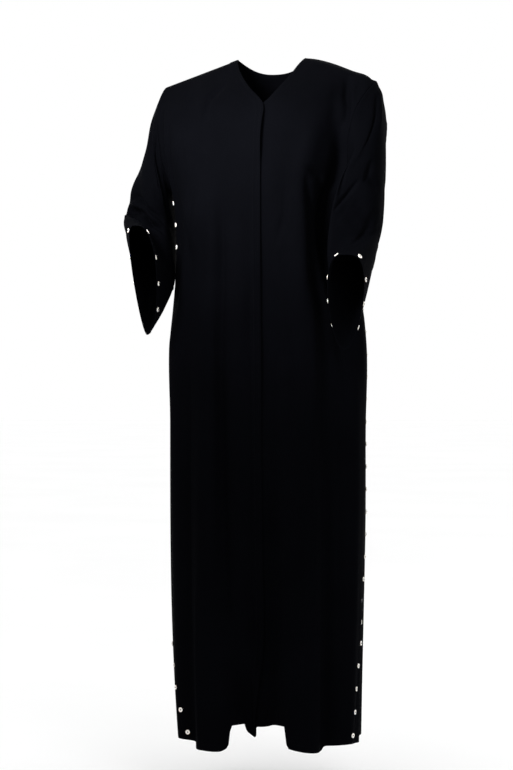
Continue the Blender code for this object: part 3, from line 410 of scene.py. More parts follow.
CREASES_BACK = np.array([
    # from the shoulder blades to the armholes
    (-0.0600, -0.080, -0.1150, -0.130, -0.1700, -0.210, 0.0120, -0.0022),
    (-0.0900, -0.070, -0.1420, -0.110, -0.1900, -0.170, 0.0100, 0.0016),
    (0.0550, -0.085, 0.1100, -0.150, 0.1600, -0.230, 0.0130, -0.0024),
    (0.0820, -0.070, 0.1350, -0.115, 0.1850, -0.160, 0.0100, 0.0016),
    (-0.1850, -0.250, -0.1500, -0.310, -0.1180, -0.420, 0.0110, -0.0028),
    (-0.1650, -0.255, -0.1300, -0.330, -0.0980, -0.450, 0.0090, 0.0016),
    (0.1750, -0.250, 0.1400, -0.300, 0.1060, -0.400, 0.0110, -0.0028),
    (0.1560, -0.270, 0.1210, -0.340, 0.0900, -0.460, 0.0090, 0.0016),
    (-0.0300, -0.330, -0.0200, -0.420, -0.0240, -0.520, 0.0100, -0.0018),
    (0.0420, -0.360, 0.0350, -0.440, 0.0400, -0.530, 0.0080, 0.0014),
    # the skirt
    (-0.1350, -0.560, -0.1330, -0.820, -0.1380, -1.100, 0.0065, 0.0022),
    (-0.0900, -0.500, -0.0930, -0.780, -0.0900, -1.040, 0.0060, -0.0024),
    (-0.0280, -0.620, -0.0250, -0.900, -0.0300, -1.200, 0.0070, 0.0020),
    (0.0300, -0.540, 0.0330, -0.820, 0.0280, -1.120, 0.0060, -0.0022),
    (0.0850, -0.600, 0.0900, -0.880, 0.0880, -1.180, 0.0070, 0.0022),
    (0.1400, -0.520, 0.1380, -0.780, 0.1430, -1.060, 0.0060, -0.0022),
    (-0.1620, -0.900, -0.1600, -1.130, -0.1650, -1.360, 0.0070, -0.0020),
    (0.0020, -1.000, 0.0060, -1.180, 0.0020, -1.360, 0.0060, 0.0018),
    (0.1150, -1.020, 0.1180, -1.200, 0.1140, -1.370, 0.0060, -0.0020),
])
# The upper front's edge stands off the under front here
GAPES = np.array([
    (0.0120, -0.128, 0.0120, -0.165, 0.0120, -0.225, 0.0080, 0.0060),
    (0.0120, -0.560, 0.0120, -0.640, 0.0120, -0.720, 0.0080, 0.0016),
    (0.0000, -1.180, -0.0100, -1.270, -0.0230, -1.360, 0.0090, 0.0025),
])

# Small creases of the sleeves.  ring_from, round_from, ring_to, round_to,
# half_width and lift in metres
FINE_RIGHT = np.array([
    (0.3, 0.16, 2.0, 0.30, 0.0060, -0.0030),
    (0.4, 0.19, 2.2, 0.335, 0.0055, 0.0018),
    (0.5, 0.22, 2.6, 0.38, 0.0060, -0.0030),
    (1.2, 0.12, 2.6, 0.20, 0.0080, -0.0014),
    (4.02, 0.00, 3.40, 0.15, 0.0085, -0.0088),
    (3.40, 0.15, 3.24, 0.30, 0.0070, -0.0075),
    (3.72, 0.02, 3.16, 0.15, 0.0060, 0.0030),
    (3.40, 0.04, 2.88, 0.15, 0.0060, -0.0060),
    (2.88, 0.15, 2.94, 0.31, 0.0055, -0.0050),
    (4.6, 0.62, 5.5, 0.58, 0.0080, -0.0016),
    (0.7, 0.86, 2.0, 0.74, 0.0080, -0.0022),
    (1.1, 0.93, 2.7, 0.80, 0.0070, 0.0016),
    (2.4, 0.90, 3.6, 0.72, 0.0080, -0.0026),
    (2.9, 0.95, 4.0, 0.80, 0.0070, -0.0020),
    (3.6, 0.86, 4.4, 0.70, 0.0070, 0.0018),
    (4.3, 0.92, 5.3, 0.84, 0.0080, -0.0016),
])
FINE_LEFT = np.array([
    (0.5, 0.05, 1.3, 0.10, 0.0065, -0.0026),
    (0.6, 0.02, 1.6, 0.045, 0.0060, 0.0016),
    (2.35, 0.085, 2.66, 0.09, 0.0055, -0.0036),
    (2.66, 0.09, 3.05, 0.04, 0.0055, -0.0036),
    (2.60, 0.14, 2.95, 0.235, 0.0060, -0.0034),
    (1.10, 0.08, 1.42, 0.13, 0.0060, -0.0032),
    (5.10, 0.06, 3.74, 0.04, 0.0080, -0.0028),
    (0.15, -0.035, 0.50, 0.035, 0.0200, 0.0018),
    (3.2, 0.12, 4.2, 0.03, 0.0080, -0.0024),
    (3.4, 0.18, 4.4, 0.07, 0.0070, 0.0020),
    (1.4, 0.27, 2.6, 0.22, 0.0080, -0.0018),
    (4.4, 0.24, 5.3, 0.18, 0.0080, 0.0014),
    (0.7, 0.88, 2.0, 0.78, 0.0080, -0.0022),
    (1.3, 0.95, 2.8, 0.82, 0.0070, 0.0016),
    (2.3, 0.92, 3.5, 0.74, 0.0080, -0.0026),
    (3.0, 0.97, 4.1, 0.84, 0.0070, -0.0020),
    (3.7, 0.90, 4.6, 0.74, 0.0070, 0.0018),
    (4.4, 0.66, 5.4, 0.60, 0.0080, -0.0016),
])
# Each sleeve's rings, creases, small creases and squareness, right then left
SLEEVES = (
    (SLEEVE_RIGHT, CREASES_RIGHT, FINE_RIGHT, RIGHT_BOX),
    (SLEEVE_LEFT, CREASES_LEFT, FINE_LEFT, LEFT_BOX),
)
GIRTH_STEP = 0.0034  # length round the body of one degree, for the creases
# Slow swells that keep broad cloth from being flat: per_turn, per_metre, phase, lift
SWELLS = np.array([
    (9.0, 4.1, 0.4, 0.0007),
    (14.0, 6.3, 2.1, 0.0005),
    (22.0, 3.2, 4.4, 0.0004),
    (5.0, 9.7, 1.2, 0.0006),
])


def track(keys, values, at, keen=False):
    """Values read from a table's column along a smooth curve through its rows.

    A keen curve never swings past its rows' values, so corners stay crisp.
    """
    keys = np.asarray(keys, float)
    values = np.asarray(values, float)
    if keys[0] > keys[-1]:
        keys, values = keys[::-1], values[::-1]
    steps = np.diff(keys)
    slopes = np.diff(values) / steps
    ends = np.zeros(len(keys))
    ends[0], ends[-1] = slopes[0], slopes[-1]
    ends[1:-1] = (slopes[:-1] * steps[1:] + slopes[1:] * steps[:-1]) / (steps[:-1] + steps[1:])
    if keen:
        together = slopes[:-1] * slopes[1:] > 0
        least = np.minimum(np.abs(slopes[:-1]), np.abs(slopes[1:])) * 2
        ends[1:-1] = np.where(together, np.sign(ends[1:-1]) * np.minimum(np.abs(ends[1:-1]), least), 0.0)
    at = np.clip(at, keys[0], keys[-1])
    row = np.clip(np.searchsorted(keys, at) - 1, 0, len(steps) - 1)
    step = steps[row]
    s = (at - keys[row]) / step
    rest = 1 - s
    return (values[row] * (1 + 2 * s) * rest**2 + values[row + 1] * (3 - 2 * s) * s**2
            + ends[row] * step * s * rest**2 - ends[row + 1] * step * rest * s**2)


def ease(s):
    """0 to 1 with a soft start and end."""
    s = np.clip(s, 0, 1)
    return s * s * (3 - 2 * s)


def unit(vectors):
    """Vectors of length 1."""
    return vectors / np.maximum(np.linalg.norm(vectors, axis=-1, keepdims=True), 1e-12)


def running(points, axis=0):
    """Distance along lines of points from their first ones.  The lines run along the axis."""
    ends = np.cumsum(np.linalg.norm(np.diff(points, axis=axis), axis=-1), axis=axis)
    return np.concatenate([0 * ends.take([0], axis=axis), ends], axis=axis)


def armhole_x(z, left, back):
    """Where an armhole seam lies across the body, on the front or the back."""
    return track(ARMHOLE[:, 0], ARMHOLE[:, 1 + 2 * left + back], z)


def side_angle(z, left):
    """The girth angle of a side seam."""
    return track(SIDE_SEAM[:, 0], SIDE_SEAM[:, 1 + left], z)


def lap_x(z):
    """Where the middle of the lap lies across the body."""
    return track(LAP_SWING[:, 0], LAP_SWING[:, 1], z)


def half_width(z, left):
    """Half of a body ring's width on one side of the centre line."""
    return track(BODY[:, 0], BODY[:, 1 + left], z)


def girth_x(angle, z):
    """Distance from the centre line to a girth angle, before the folds."""
    sine = np.sin(np.radians(angle))
    half = np.where(sine > 0, half_width(z, True), half_width(z, False))
    return half * np.sign(sine) * np.abs(sine) ** (2 / RING_POWER)


def girth_angle(x, z, back):
    """The angle round the body of a place at x on its front or back."""
    half = np.where(x > 0, half_width(z, True), half_width(z, False))
    share = np.clip(np.abs(x) / half, 0, 1)
    angle = np.degrees(np.arcsin(share ** (RING_POWER / 2))) * np.sign(x)
    return np.where(x >= 0, 180 - angle, -180 - angle) if back else angle


def fold_lift(angle, z):
    """How far the folds move the body's surface outwards, at a girth angle and height."""
    lift = np.zeros(np.broadcast(angle, z).shape)
    for (top_z, bottom_z, top_angle, bottom_angle, top_width, bottom_width,
         top_lift, bottom_lift, fade_top, fade_bottom) in FOLDS:
        down = np.clip((top_z - z) / (top_z - bottom_z), 0, 1)
        middle = top_angle + (bottom_angle - top_angle) * down
        width = top_width + (bottom_width - top_width) * down
        height = top_lift + (bottom_lift - top_lift) * down**FOLD_DEEPEN
        height = height * ease((top_z + fade_top - z) / fade_top)
        height = height * ease((z - bottom_z + fade_bottom) / fade_bottom)
        away = (angle - middle + 180) % 360 - 180
        lift = lift + height * np.exp(-np.abs(away / width) ** FOLD_EDGE)
    return lift


def shoulder_share(x):
    """How far out x lies between the neck point and the shoulder tip, 0 to 1."""
    return np.clip((np.abs(x) - NECK_HALF) / (SHOULDER_HALF - NECK_HALF), 0, 1)


def plain_point(angle, z, back):
    """Points of the body's outer face without its small creases, at a girth angle and height."""
    front_y, back_y, centre = (track(BODY[:, 0], BODY[:, column], z) for column in (3, 4, 5))
    sine, cosine = np.sin(np.radians(angle)), np.cos(np.radians(angle))
    far = np.where(cosine > 0, centre - front_y, back_y - centre)
    lift = fold_lift(angle, z)
    x = girth_x(angle, z)
    full_y = centre - far * np.sign(cosine) * np.abs(cosine) ** (2 / RING_POWER) - cosine * lift
    ridge_y = -SHOULDER_FORWARD * shoulder_share(x)
    drop = np.clip((ridge_z(x) - z) / (BACK_ROUND if back else FRONT_ROUND), 0, 1)
    y = ridge_y + (full_y - ridge_y) * np.sqrt(1 - (1 - drop) ** 2)
    x = x + sine * lift * ease((UNDERARM + SIDE_LIFT_FROM - z) / SIDE_LIFT_OVER)
    return np.stack([x, y, z + 0 * x], axis=-1)


def ridge_z(x):
    """Height of the shoulder seam at x."""
    height = -SHOULDER_DROP * shoulder_share(x) ** np.where(x > 0, LEFT_SHOULDER_ARCH, 1.0)
    lump_x, lump_width, lump_lift = LEFT_SHOULDER_LUMP
    tip_x, tip_over, tip_drop = LEFT_SHOULDER_TIP
    height = height + lump_lift * np.exp(-((x - lump_x) / lump_width) ** 2)
    return height - tip_drop * ease((x - tip_x) / tip_over)


def bent_lift(lines, angle, z, back):
    """How far bent creases on the front or the back move the body's surface outwards."""
    lift = np.zeros(np.broadcast(angle, z).shape)
    for x_1, z_1, x_2, z_2, x_3, z_3, width, height in lines:
        xs, zs = np.array([x_1, x_2, x_3]), np.array([z_1, z_2, z_3])
        ends = np.stack([girth_angle(xs, zs, back) * GIRTH_STEP, zs], axis=1)
        total = running(ends)[-1]
        best, share = np.full(lift.shape, np.inf), np.zeros(lift.shape)
        done = 0.0
        for start, end in zip(ends[:-1], ends[1:]):
            way = end - start
            length = np.hypot(*way)
            off_x = (angle - start[0] / GIRTH_STEP + 180) % 360 - 180
            off_x, off_z = off_x * GIRTH_STEP, z - start[1]
            along = np.clip((off_x * way[0] + off_z * way[1]) / length**2, 0, 1)
            away = np.hypot(off_x - along * way[0], off_z - along * way[1])
            closer = away < best
            best = np.where(closer, away, best)
            share = np.where(closer, (done + along * length) / total, share)
            done += length
        inside = np.clip(share, OFF_END, 1 - OFF_END)
        swell = BENT_ENDS + (1 - BENT_ENDS) * np.sin(math.pi * inside) ** BENT_SWELL
        lift = lift + height * swell * np.exp(-(best / width) ** 2)
    return lift


def fine_lift(angle, z, back):
    """The small creases and slow swells of the dressed cloth."""
    lift = bent_lift(CREASES_FRONT, angle, z, False) + bent_lift(CREASES_BACK, angle, z, True)
    lift = lift * BODY_CREASES
    for per_turn, per_metre, phase, height in SWELLS:
        lift = lift + height * np.sin(np.radians(angle) * per_turn + z * per_metre + phase)
    return lift * ease((ridge_z(girth_x(angle, z)) - z - FINE_FROM) / FINE_OVER)


def normals_of(point, feel, angle, z, back):
    """Directions out of a surface, felt by small steps round it and up it."""
    turn, rise = feel
    across = point(angle + turn, z, back) - point(angle - turn, z, back)
    upwards = point(angle, z + rise, back) - point(angle, z - rise, back)
    return unit(np.cross(across, upwards))


def body_point(angle, z, back):
    """Points of the dressed body's outer face at a girth angle and height."""
    out = normals_of(plain_point, PLAIN_FEEL, angle, z, back)
    return plain_point(angle, z, back) + out * fine_lift(angle, z, back)[..., None]


def hem_z(angle):
    """Height of the hem at a girth angle."""
    return track(HEM[:, 0], HEM[:, 1], angle, keen=True)


def row_stages():
    """Stage of each row: 0 to 1 yoke, 1 to 2 chest, 2 to 3 skirt."""
    yoke = np.linspace(0, 1, YOKE_ROWS + 1)[:-1] ** YOKE_BUNCH
    chest = np.linspace(1, 2, CHEST_ROWS + 1)[:-1]
    hem = 3 - np.array(HEM_STEPS) / (UNDERARM - HEM[:, 1].mean())
    return np.concatenate([yoke, chest, np.linspace(2, hem[0], SKIRT_ROWS + 1)[:-1], hem])


def outer_z(stage):
    """Height of a row at the armhole, down to the underarm."""
    return np.interp(stage, [0, 1, 2], [-SHOULDER_DROP, V_RIGHT[-1, 1] - YOKE_FALL, UNDERARM])


def skirt_place(stage, angle):
    """Height of a skirt row at a girth angle."""
    return UNDERARM + (hem_z(angle) - UNDERARM) * (stage - 2)


def front_places(left):
    """Girth angle and height of one front's points, from the shoulder down and the centre out."""
    sign = 1 if left else -1
    v_edge = V_LEFT if left else V_RIGHT
    v_share = np.linspace(0, 1, len(v_edge))
    top_shares = np.linspace(0, 1, FRONT_COLUMNS + 1)
    lap = np.linspace(-LAP, LAP, LAP_COLUMNS + 1)
    turns = np.linspace(0, 1, FRONT_COLUMNS + 1 - LAP_COLUMNS)
    angles, heights = [], []
    for stage in row_stages():
        if stage > 2:
            level = skirt_place(stage, 0.0)
            lap_angles = girth_angle(lap_x(level) + sign * lap, level + 0 * lap, False)
            beyond = lap_angles[-1] + (side_angle(level, left) - lap_angles[-1]) * turns
            angle = np.concatenate([lap_angles[:-1], beyond])
            height = skirt_place(stage, angle)
        else:
            side_z = outer_z(stage)
            half = half_width(side_z, left)
            side_x = abs(armhole_x(side_z, left, False))
            start = girth_angle(LAP, side_z, False)
            widest = half * np.sin(np.radians(start + (90 - start) * turns)) ** (2 / RING_POWER)
            plain = LAP + (side_x - LAP) * turns
            beyond = plain + (widest * side_x / half - plain) * ease(stage - 1)
            chest = np.concatenate([lap[:-1], beyond])
            if stage < 1:
                inner_x = sign * track(v_share, v_edge[:, 0], stage)
                inner_z = track(v_share, v_edge[:, 1], stage)
            else:
                bent = 1 - ease((stage - 1) * LAP_STRAIGHTEN)
                inner_x = -LAP + (sign * v_edge[-1, 0] + LAP) * bent
                inner_z = np.interp(stage, [1, 2], [v_edge[-1, 1], UNDERARM])
            chest_shares = (chest - chest[0]) / (chest[-1] - chest[0])
            shares = top_shares + (chest_shares - top_shares) * ease(stage)
            x = inner_x + (side_x - inner_x) * shares
            lean = np.clip((x - LAP) / (side_x - LAP), 0, 1)
            fall = shares + (lean - shares) * ease(stage)
            height = inner_z + (side_z - inner_z) * fall
            if stage == 0:
                height = ridge_z(sign * x)
            angle = girth_angle(sign * x, height, False)
        angles.append(angle)
        heights.append(height)
    return np.array(angles), np.array(heights)


def back_places():
    """Girth angle and height of the back's points, columns from the wearer's right to the left."""
    shares = np.linspace(0, 1, FRONT_COLUMNS + 1)
    outer = NECK_HALF + (np.array([SHOULDER_HALF, ARMHOLE[0, 4]])[:, None] - NECK_HALF) * shares
    neck = NECK_HALF * np.linspace(-1, 1, NECK_COLUMNS + 1)[1:-1]
    top = np.concatenate([-outer[0][::-1], neck, outer[1]])
    turn = np.linspace(-1, 1, len(top))
    dip = 1 - np.clip(np.abs(top) / NECK_HALF, 0, 1) ** NECKLINE_POWER
    start = ridge_z(top) - BACK_NECK_DROP * dip
    angles, heights = [], []
    for stage in row_stages():
        if stage > 2:
            right, left = (side_angle(skirt_place(stage, 0.0), on_left) for on_left in (False, True))
            angle = np.where(turn < 0, -180 + (180 + right) * -turn, 180 - (180 - left) * turn)
            height = skirt_place(stage, angle)
        else:
            side_z = outer_z(stage)
            right, left = (armhole_x(side_z, on_left, True) for on_left in (False, True))
            wave = np.abs(np.sin(turn * math.pi / 2)) ** (2 / RING_POWER)
            low = np.where(turn < 0, wave * right, wave * left)
            x = top + (low - top) * ease(stage / BACK_WIDEN)
            x = x * np.where(turn < 0, right / x[0], left / x[-1])
            down = (side_z + SHOULDER_DROP) / (UNDERARM + SHOULDER_DROP)
            height = start + (UNDERARM - start) * down
            angle = girth_angle(x, height, True)
        angles.append(angle)
        heights.append(height)
    return np.array(angles), np.array(heights)


def ring_point(row, around, box):
    """Points of one sleeve ring; around runs 0 top, 0.25 front, 0.5 bottom, 0.75 back.

    The box tells how square the upper front of a spiral ring is (0 is round).
    """
    top, bottom = row[0:3], row[3:6]
    front_x, front_y, back_x, back_y, fullness, upright = row[6:12]
    turn = np.abs((around + 0.5) % 1 - 0.5) * 2
    down = ((1 - np.cos(math.pi * turn)) / 2) ** fullness
    spiral = turn - SPIRAL_EASE * np.sin(4 * math.pi * turn) / (4 * math.pi)
    wide = np.sin(math.pi * turn) ** (SLEEVE_SWELL + (1 - SLEEVE_SWELL) * upright)
    wide = wide * (1 - SLEEVE_TAPER * (fullness - 1) * down)
    in_front = (around > 0) & (around < 0.5)
    reach = np.where(in_front[:, None], (front_x, front_y, 0.0), (back_x, back_y, 0.0))
    square = box * (1 - upright) * (in_front & (turn < 0.5))
    grown = np.stack([wide ** (1 + square), wide ** (1 - BOX_FRONT * square), wide], axis=1)
    points = top + (bottom - top) * down[:, None] + reach * grown
    points[:, 2] = top[2] + (bottom[2] - top[2]) * (spiral + (down - spiral) * upright)
    return points


def sleeve_grid(left, front, back):
    """Outer face of one sleeve, rows from the armhole down, columns round the arm."""
    armhole = np.concatenate([front[:ARM_ROWS, -1], back[ARM_ROWS:0:-1, -1 if left else 0]])
    around = np.arange(2 * ARM_ROWS) / (2 * ARM_ROWS)
    table, creases, fine, box = SLEEVES[left]
    rings = np.array([armhole] + [ring_point(row, around, box) for row in table])
    turned = len(table) * (1 - np.array(HEM_STEPS) / SLEEVE_LENGTH)
    at = np.concatenate([np.linspace(0, turned[0], SLEEVE_ROWS + 1)[:-1], turned])
    flat = rings.reshape(len(rings), -1)
    grid = np.array([track(np.arange(len(rings)), column, at) for column in flat.T])
    grid = grid.T.reshape(len(at), len(around), 3)
    ring = at[:, None]
    lift = crease_lift(creases, ring, around) + SLEEVE_CREASES * crease_lift(fine, ring, around)
    over, ending, ending_over, ending_by = CREASE_FADES
    lift = lift * ease(ring / over) * (1 - ending_by * ease((ring - ending) / ending_over))
    return grid + tube_normals(grid, left) * lift[..., None]


def crease_lift(creases, ring, around):
    """How far the creases move a sleeve's surface outwards."""
    lift = np.zeros(np.broadcast(ring, around).shape)
    for ring_from, round_from, ring_to, round_to, width, height in creases:
        line = np.array([(ring_to - ring_from) * RING_STEP, (round_to - round_from) * ROUND_STEP])
        length = np.hypot(*line)
        away_ring = (ring - ring_from) * RING_STEP
        away_round = ((around - round_from + 0.5) % 1 - 0.5) * ROUND_STEP
        along = (away_ring * line[0] + away_round * line[1]) / length**2
        across = (away_ring * line[1] - away_round * line[0]) / length
        past = np.maximum(np.abs(along - 0.5) - 0.5, 0) * length
        swell = CREASE_ENDS + (1 - CREASE_ENDS) * np.sin(math.pi * np.clip(along, 0, 1))
        lift = lift + height * swell * np.exp(-(across / width) ** 2 - (past / width) ** 2)
    return lift


def tube_normals(grid, left):
    """Directions out of a sleeve's grid, which is closed round its columns."""
    around = np.roll(grid, -1, axis=1) - np.roll(grid, 1, axis=1)
    along = np.gradient(grid, axis=0)
    return unit(np.cross(around, along) if left else np.cross(along, around))


def square_to(ways, line):
    """The share of each way that lies square to a line of seam points."""
    along = unit(np.gradient(line, axis=0))
    return unit(ways - along * (ways * along).sum(axis=-1, keepdims=True))


def part_seam(cut, first, first_edge, first_in, second, second_edge, second_in):
    """Move two pieces' common edge apart by the seam gap.

    The edges are rows and columns of the pieces' points, and the points just
    inside each edge tell the ways in which the cloth leaves the seam.
    """
    line = cut[first][first_edge].copy()
    leaving = square_to(cut[first][first_in] - line, line)
    other = square_to(cut[second][second_in] - cut[second][second_edge], line)
    apart = unit(leaving - other) * SEAM_GAP / 2
    cut[first][first_edge] += apart
    cut[second][second_edge] -= apart


def part_seams(cut, key, edge):
    """Part the shoulder, side and armhole seams of one half of the garment."""
    front, sleeve = "front_" + key, "sleeve_" + key
    count = cut[sleeve].shape[1]
    beside = -2 if edge == -1 else 1
    front_columns = np.arange(FRONT_COLUMNS + 1)
    shoulder = cut["back"].shape[1] - 1 - front_columns[::-1] if edge == -1 else front_columns[::-1]
    part_seam(cut, front, (0, front_columns), (1, front_columns), "back", (0, shoulder), (1, shoulder))
    side = np.arange(ARM_ROWS, len(cut[front]))
    part_seam(cut, front, (side, -1), (side, -2), "back", (side, edge), (side, beside))
    down = np.arange(ARM_ROWS + 1)
    part_seam(cut, front, (down, -1), (down, -2), sleeve, (0, down), (1, down))
    up = (count - down) % count
    part_seam(cut, "back", (down, edge), (down, beside), sleeve, (0, up), (1, up))


def walk(points, distance):
    """Index and share of the place at a distance along a line of points."""
    ends = running(points)
    index = int(np.clip(np.searchsorted(ends, distance) - 1, 0, len(points) - 2))
    return index, (distance - ends[index]) / (ends[index + 1] - ends[index])


def groove(total, first, second):
    """The direction out of a seam whose pieces leave it at a sharp angle.

    Their summed normals are too short to trust there, so the two ways in which
    the pieces leave the seam are added.
    """
    trust = np.clip(np.linalg.norm(total, axis=-1, keepdims=True), 0, 1)
    return unit(total + (unit(first) + unit(second)) * (1 - trust))


def share_seams(grid, normals, key, edge):
    """Give the pieces that meet at a shoulder, side or armhole seam one direction there."""
    front, back, sleeve = normals["front_" + key], normals["back"], normals["sleeve_" + key]
    arm, body, rear = grid["sleeve_" + key], grid["front_" + key], grid["back"]
    columns = sleeve.shape[1]
    shoulder = slice(-FRONT_COLUMNS - 1, None) if edge == -1 else slice(FRONT_COLUMNS, None, -1)
    beside = -2 if edge == -1 else 1
    front[0] = back[0, shoulder] = unit(front[0] + back[0, shoulder])
    side = slice(ARM_ROWS, None)
    front[side, -1] = back[side, edge] = unit(front[side, -1] + back[side, edge])
    for row in range(ARM_ROWS + 1):
        behind = (columns - row) % columns
        leaving, leaving_behind = arm[1, row] - arm[0, row], arm[1, behind] - arm[0, behind]
        if row in (0, ARM_ROWS):
            total = unit(front[row, -1] + back[row, edge]) + sleeve[0, row]
            down = body[row + 1, -1] - body[row, -1]
            front[row, -1] = back[row, edge] = sleeve[0, row] = groove(total, leaving, down)
        else:
            inwards = body[row, -2] - body[row, -1]
            total = front[row, -1] + sleeve[0, row]
            front[row, -1] = sleeve[0, row] = groove(total, leaving, inwards)
            inwards = rear[row, beside] - rear[row, edge]
            total = back[row, edge] + sleeve[0, behind]
            back[row, edge] = sleeve[0, behind] = groove(total, leaving_behind, inwards)


@functools.cache
def garment():
    """The outer faces of the five cloth pieces and the directions out of them, by piece."""
    places = {"front_right": front_places(False), "front_left": front_places(True), "back": back_places()}
    grid, normals = {}, {}
    for key, place in places.items():
        grid[key] = body_point(*place, key == "back")
        normals[key] = normals_of(body_point, DRESSED_FEEL, *place, key == "back")
    for side, edge in BACK_EDGES.items():
        front, sleeve = "front_" + side, "sleeve_" + side
        grid[sleeve] = sleeve_grid(side == "left", grid[front], grid["back"])
        normals[sleeve] = tube_normals(grid[sleeve], side == "left")
        share_seams(grid, normals, side, edge)

    angle, height = places["front_left"]
    under = 1 - ease((girth_x(angle, height) - lap_x(height) - LAP - LAP_PAST) / LAP_RISE)
    grid["front_left"] = grid["front_left"] - normals["front_left"] * (LAP_DROP * under)[..., None]

    from_edge = edge_distance(grid["front_right"])[0]
    rise = PLACKET_RISE * (1 - ease((from_edge - PLACKET_WIDTH) / PLACKET_STEP))
    rise = rise + bent_lift(GAPES, *places["front_right"], False)
    grid["front_right"] = grid["front_right"] + normals["front_right"] * rise[..., None]

    for key in grid:
        depth = sunk_seams(key, grid[key].shape[:2])
        grid[key] = grid[key] - normals[key] * depth[..., None]
    for side, edge in BACK_EDGES.items():
        part_seams(grid, side, edge)
    return grid, normals


def edge_distance(points):
    """Distance along each row from its first point, and along each column from its last."""
    return running(points, 1), running(points[::-1])[::-1]


def sunk_seams(key, shape):
    """How far each point of a piece is drawn in because it lies on a seam."""
    depth = np.zeros(shape)
    if key == "back":
        depth[:, [0, -1]] = SEAM_SINK
        depth[0, :FRONT_COLUMNS + 1] = depth[0, -FRONT_COLUMNS - 1:] = SEAM_SINK
        return depth
    depth[0] = SEAM_SINK
    if key.startswith("front"):
        depth[:, -1] = SEAM_SINK
    return depth


def free_edge_distance(key, points):
    """Distance of each point of a piece from its nearest finished edge."""
    from_first, from_last = edge_distance(points)
    if key.startswith("sleeve"):
        return from_last
    if key == "back":
        middle = slice(FRONT_COLUMNS + 1, -FRONT_COLUMNS - 1)
        neck = points[0, middle]
        top = points[:YOKE_ROWS].reshape(-1, 1, 3)
        away = np.linalg.norm(top - neck, axis=-1).min(axis=1).reshape(YOKE_ROWS, -1)
        distance = from_last.copy()
        distance[:YOKE_ROWS] = np.minimum(distance[:YOKE_ROWS], away)
        return distance
    return np.minimum(from_first, from_last)


# The wall of each cloth piece

def skin_faces(rows, columns, closed, turned):
    """Faces of a sheet's outer skin, inner skin and rim.  Points are counted by rows, outer first."""
    across = columns if closed else columns - 1
    inner = (rows + 1) * columns
    r, c = np.meshgrid(np.arange(rows), np.arange(across), indexing="ij")
    a = (r * columns + c).ravel()
    b = (r * columns + (c + 1) % columns).ravel()
    outer = np.stack([a, b, b + columns, a + columns], axis=1)
    faces = [outer, outer[:, ::-1] + inner]

    def rim(a, b, flip):
        strip = np.stack([a, b, b + inner, a + inner], axis=1)
        faces.append(strip[:, ::-1] if flip else strip)

    c = np.arange(across)
    for row, flip in ((0, True), (rows, False)):
        rim(row * columns + c, row * columns + (c + 1) % columns, flip)
    if not closed:
        r = np.arange(rows) * columns
        for first, flip in ((r, False), (r + columns - 1, True)):
            rim(first, first + columns, flip)
    faces = np.concatenate(faces)
    return faces[:, ::-1] if turned else faces


def new_mesh_piece(name, points, faces, surface):
    """A shown piece made of worked-out points."""
    mesh = bpy.data.meshes.new(name)
    mesh.from_pydata([tuple(p) for p in points], [], [tuple(int(i) for i in f) for f in faces])
    mesh.materials.append(surface)
    mesh.shade_smooth()
    made = bpy.data.objects.new(name, mesh)
    bpy.context.scene.collection.objects.link(made)
    return made


def cloth_piece(key):
    """One cut piece of cloth as a thin wall with turned-up hems, in place of its solid."""
    settings = bpy.context.scene.abaya_cloth
    grid, normals = garment()
    points, ways = grid[key], normals[key]
    turned = key in ("front_left", "sleeve_right")
    edge = free_edge_distance(key, points)
    doubled = 1 - ease((edge - settings.hem_depth) / HEM_STEP + 0.5)
    pressed = PRESSED_BY * np.exp(-edge / PRESSED_OVER)
    wall = settings.wall * (1 + HEM_LAYER * doubled) * (1 - pressed)
    outer = points - ways * (settings.wall * PRESSED_IN * pressed)[..., None]
    inner = points - ways * wall[..., None]
    both = np.concatenate([outer.reshape(-1, 3), inner.reshape(-1, 3)])
    faces = skin_faces(points.shape[0] - 1, points.shape[1], key.startswith("sleeve"), turned)
    piece = new_mesh_piece(key + "_cloth", both, faces, crepe_material())
    mesh = piece.data

    across, down = running(points, 1), running(points)
    across = across - across.mean(axis=1, keepdims=True)
    flat = np.tile(np.stack([across.ravel(), down.ravel()], axis=1), (2, 1))
    loops = np.zeros(len(mesh.loops), dtype=int)
    mesh.loops.foreach_get("vertex_index", loops)
    layer = mesh.uv_layers.new(name="cut")
    layer.data.foreach_set("uv", flat[loops].astype(np.float32).ravel())
    attribute = mesh.attributes.new("edge", "FLOAT", "POINT")
    attribute.data.foreach_set("value", np.tile(edge.ravel(), 2).astype(np.float32))
    mesh.update()

    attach(piece, "root")
    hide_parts(key)


# Materials

def add_node(tree, kind, place, **values):
    """A node with its plain settings."""
    made = tree.nodes.new(kind)
    made.location = place
    for name, value in values.items():
        setattr(made, name, value)
    return made


def new_material(name):
    """A new material, its one surface shader and its node tree."""
    made = bpy.data.materials.new(name)
    made.use_nodes = True
    return made, made.node_tree.nodes["Principled BSDF"], made.node_tree


def set_sockets(node, values):
    """Set a node's sockets, by their names, to values that are the same all over."""
    for name, value in values.items():
        node.inputs[name].default_value = value


def noise(tree, source, place, scale, detail=3.0, rough=0.55, stretch=None):
    """A noise texture on a coordinate, stretched along an axis if asked."""
    if stretch:
        mapping = add_node(tree, "ShaderNodeMapping", (place[0] - 200, place[1]))
        set_sockets(mapping, {"Scale": stretch})
        tree.links.new(source, mapping.inputs["Vector"])
        source = mapping.outputs["Vector"]
    made = add_node(tree, "ShaderNodeTexNoise", place)
    set_sockets(made, {"Scale": scale, "Detail": detail, "Roughness": rough})
    tree.links.new(source, made.inputs["Vector"])
    return made.outputs["Fac"]


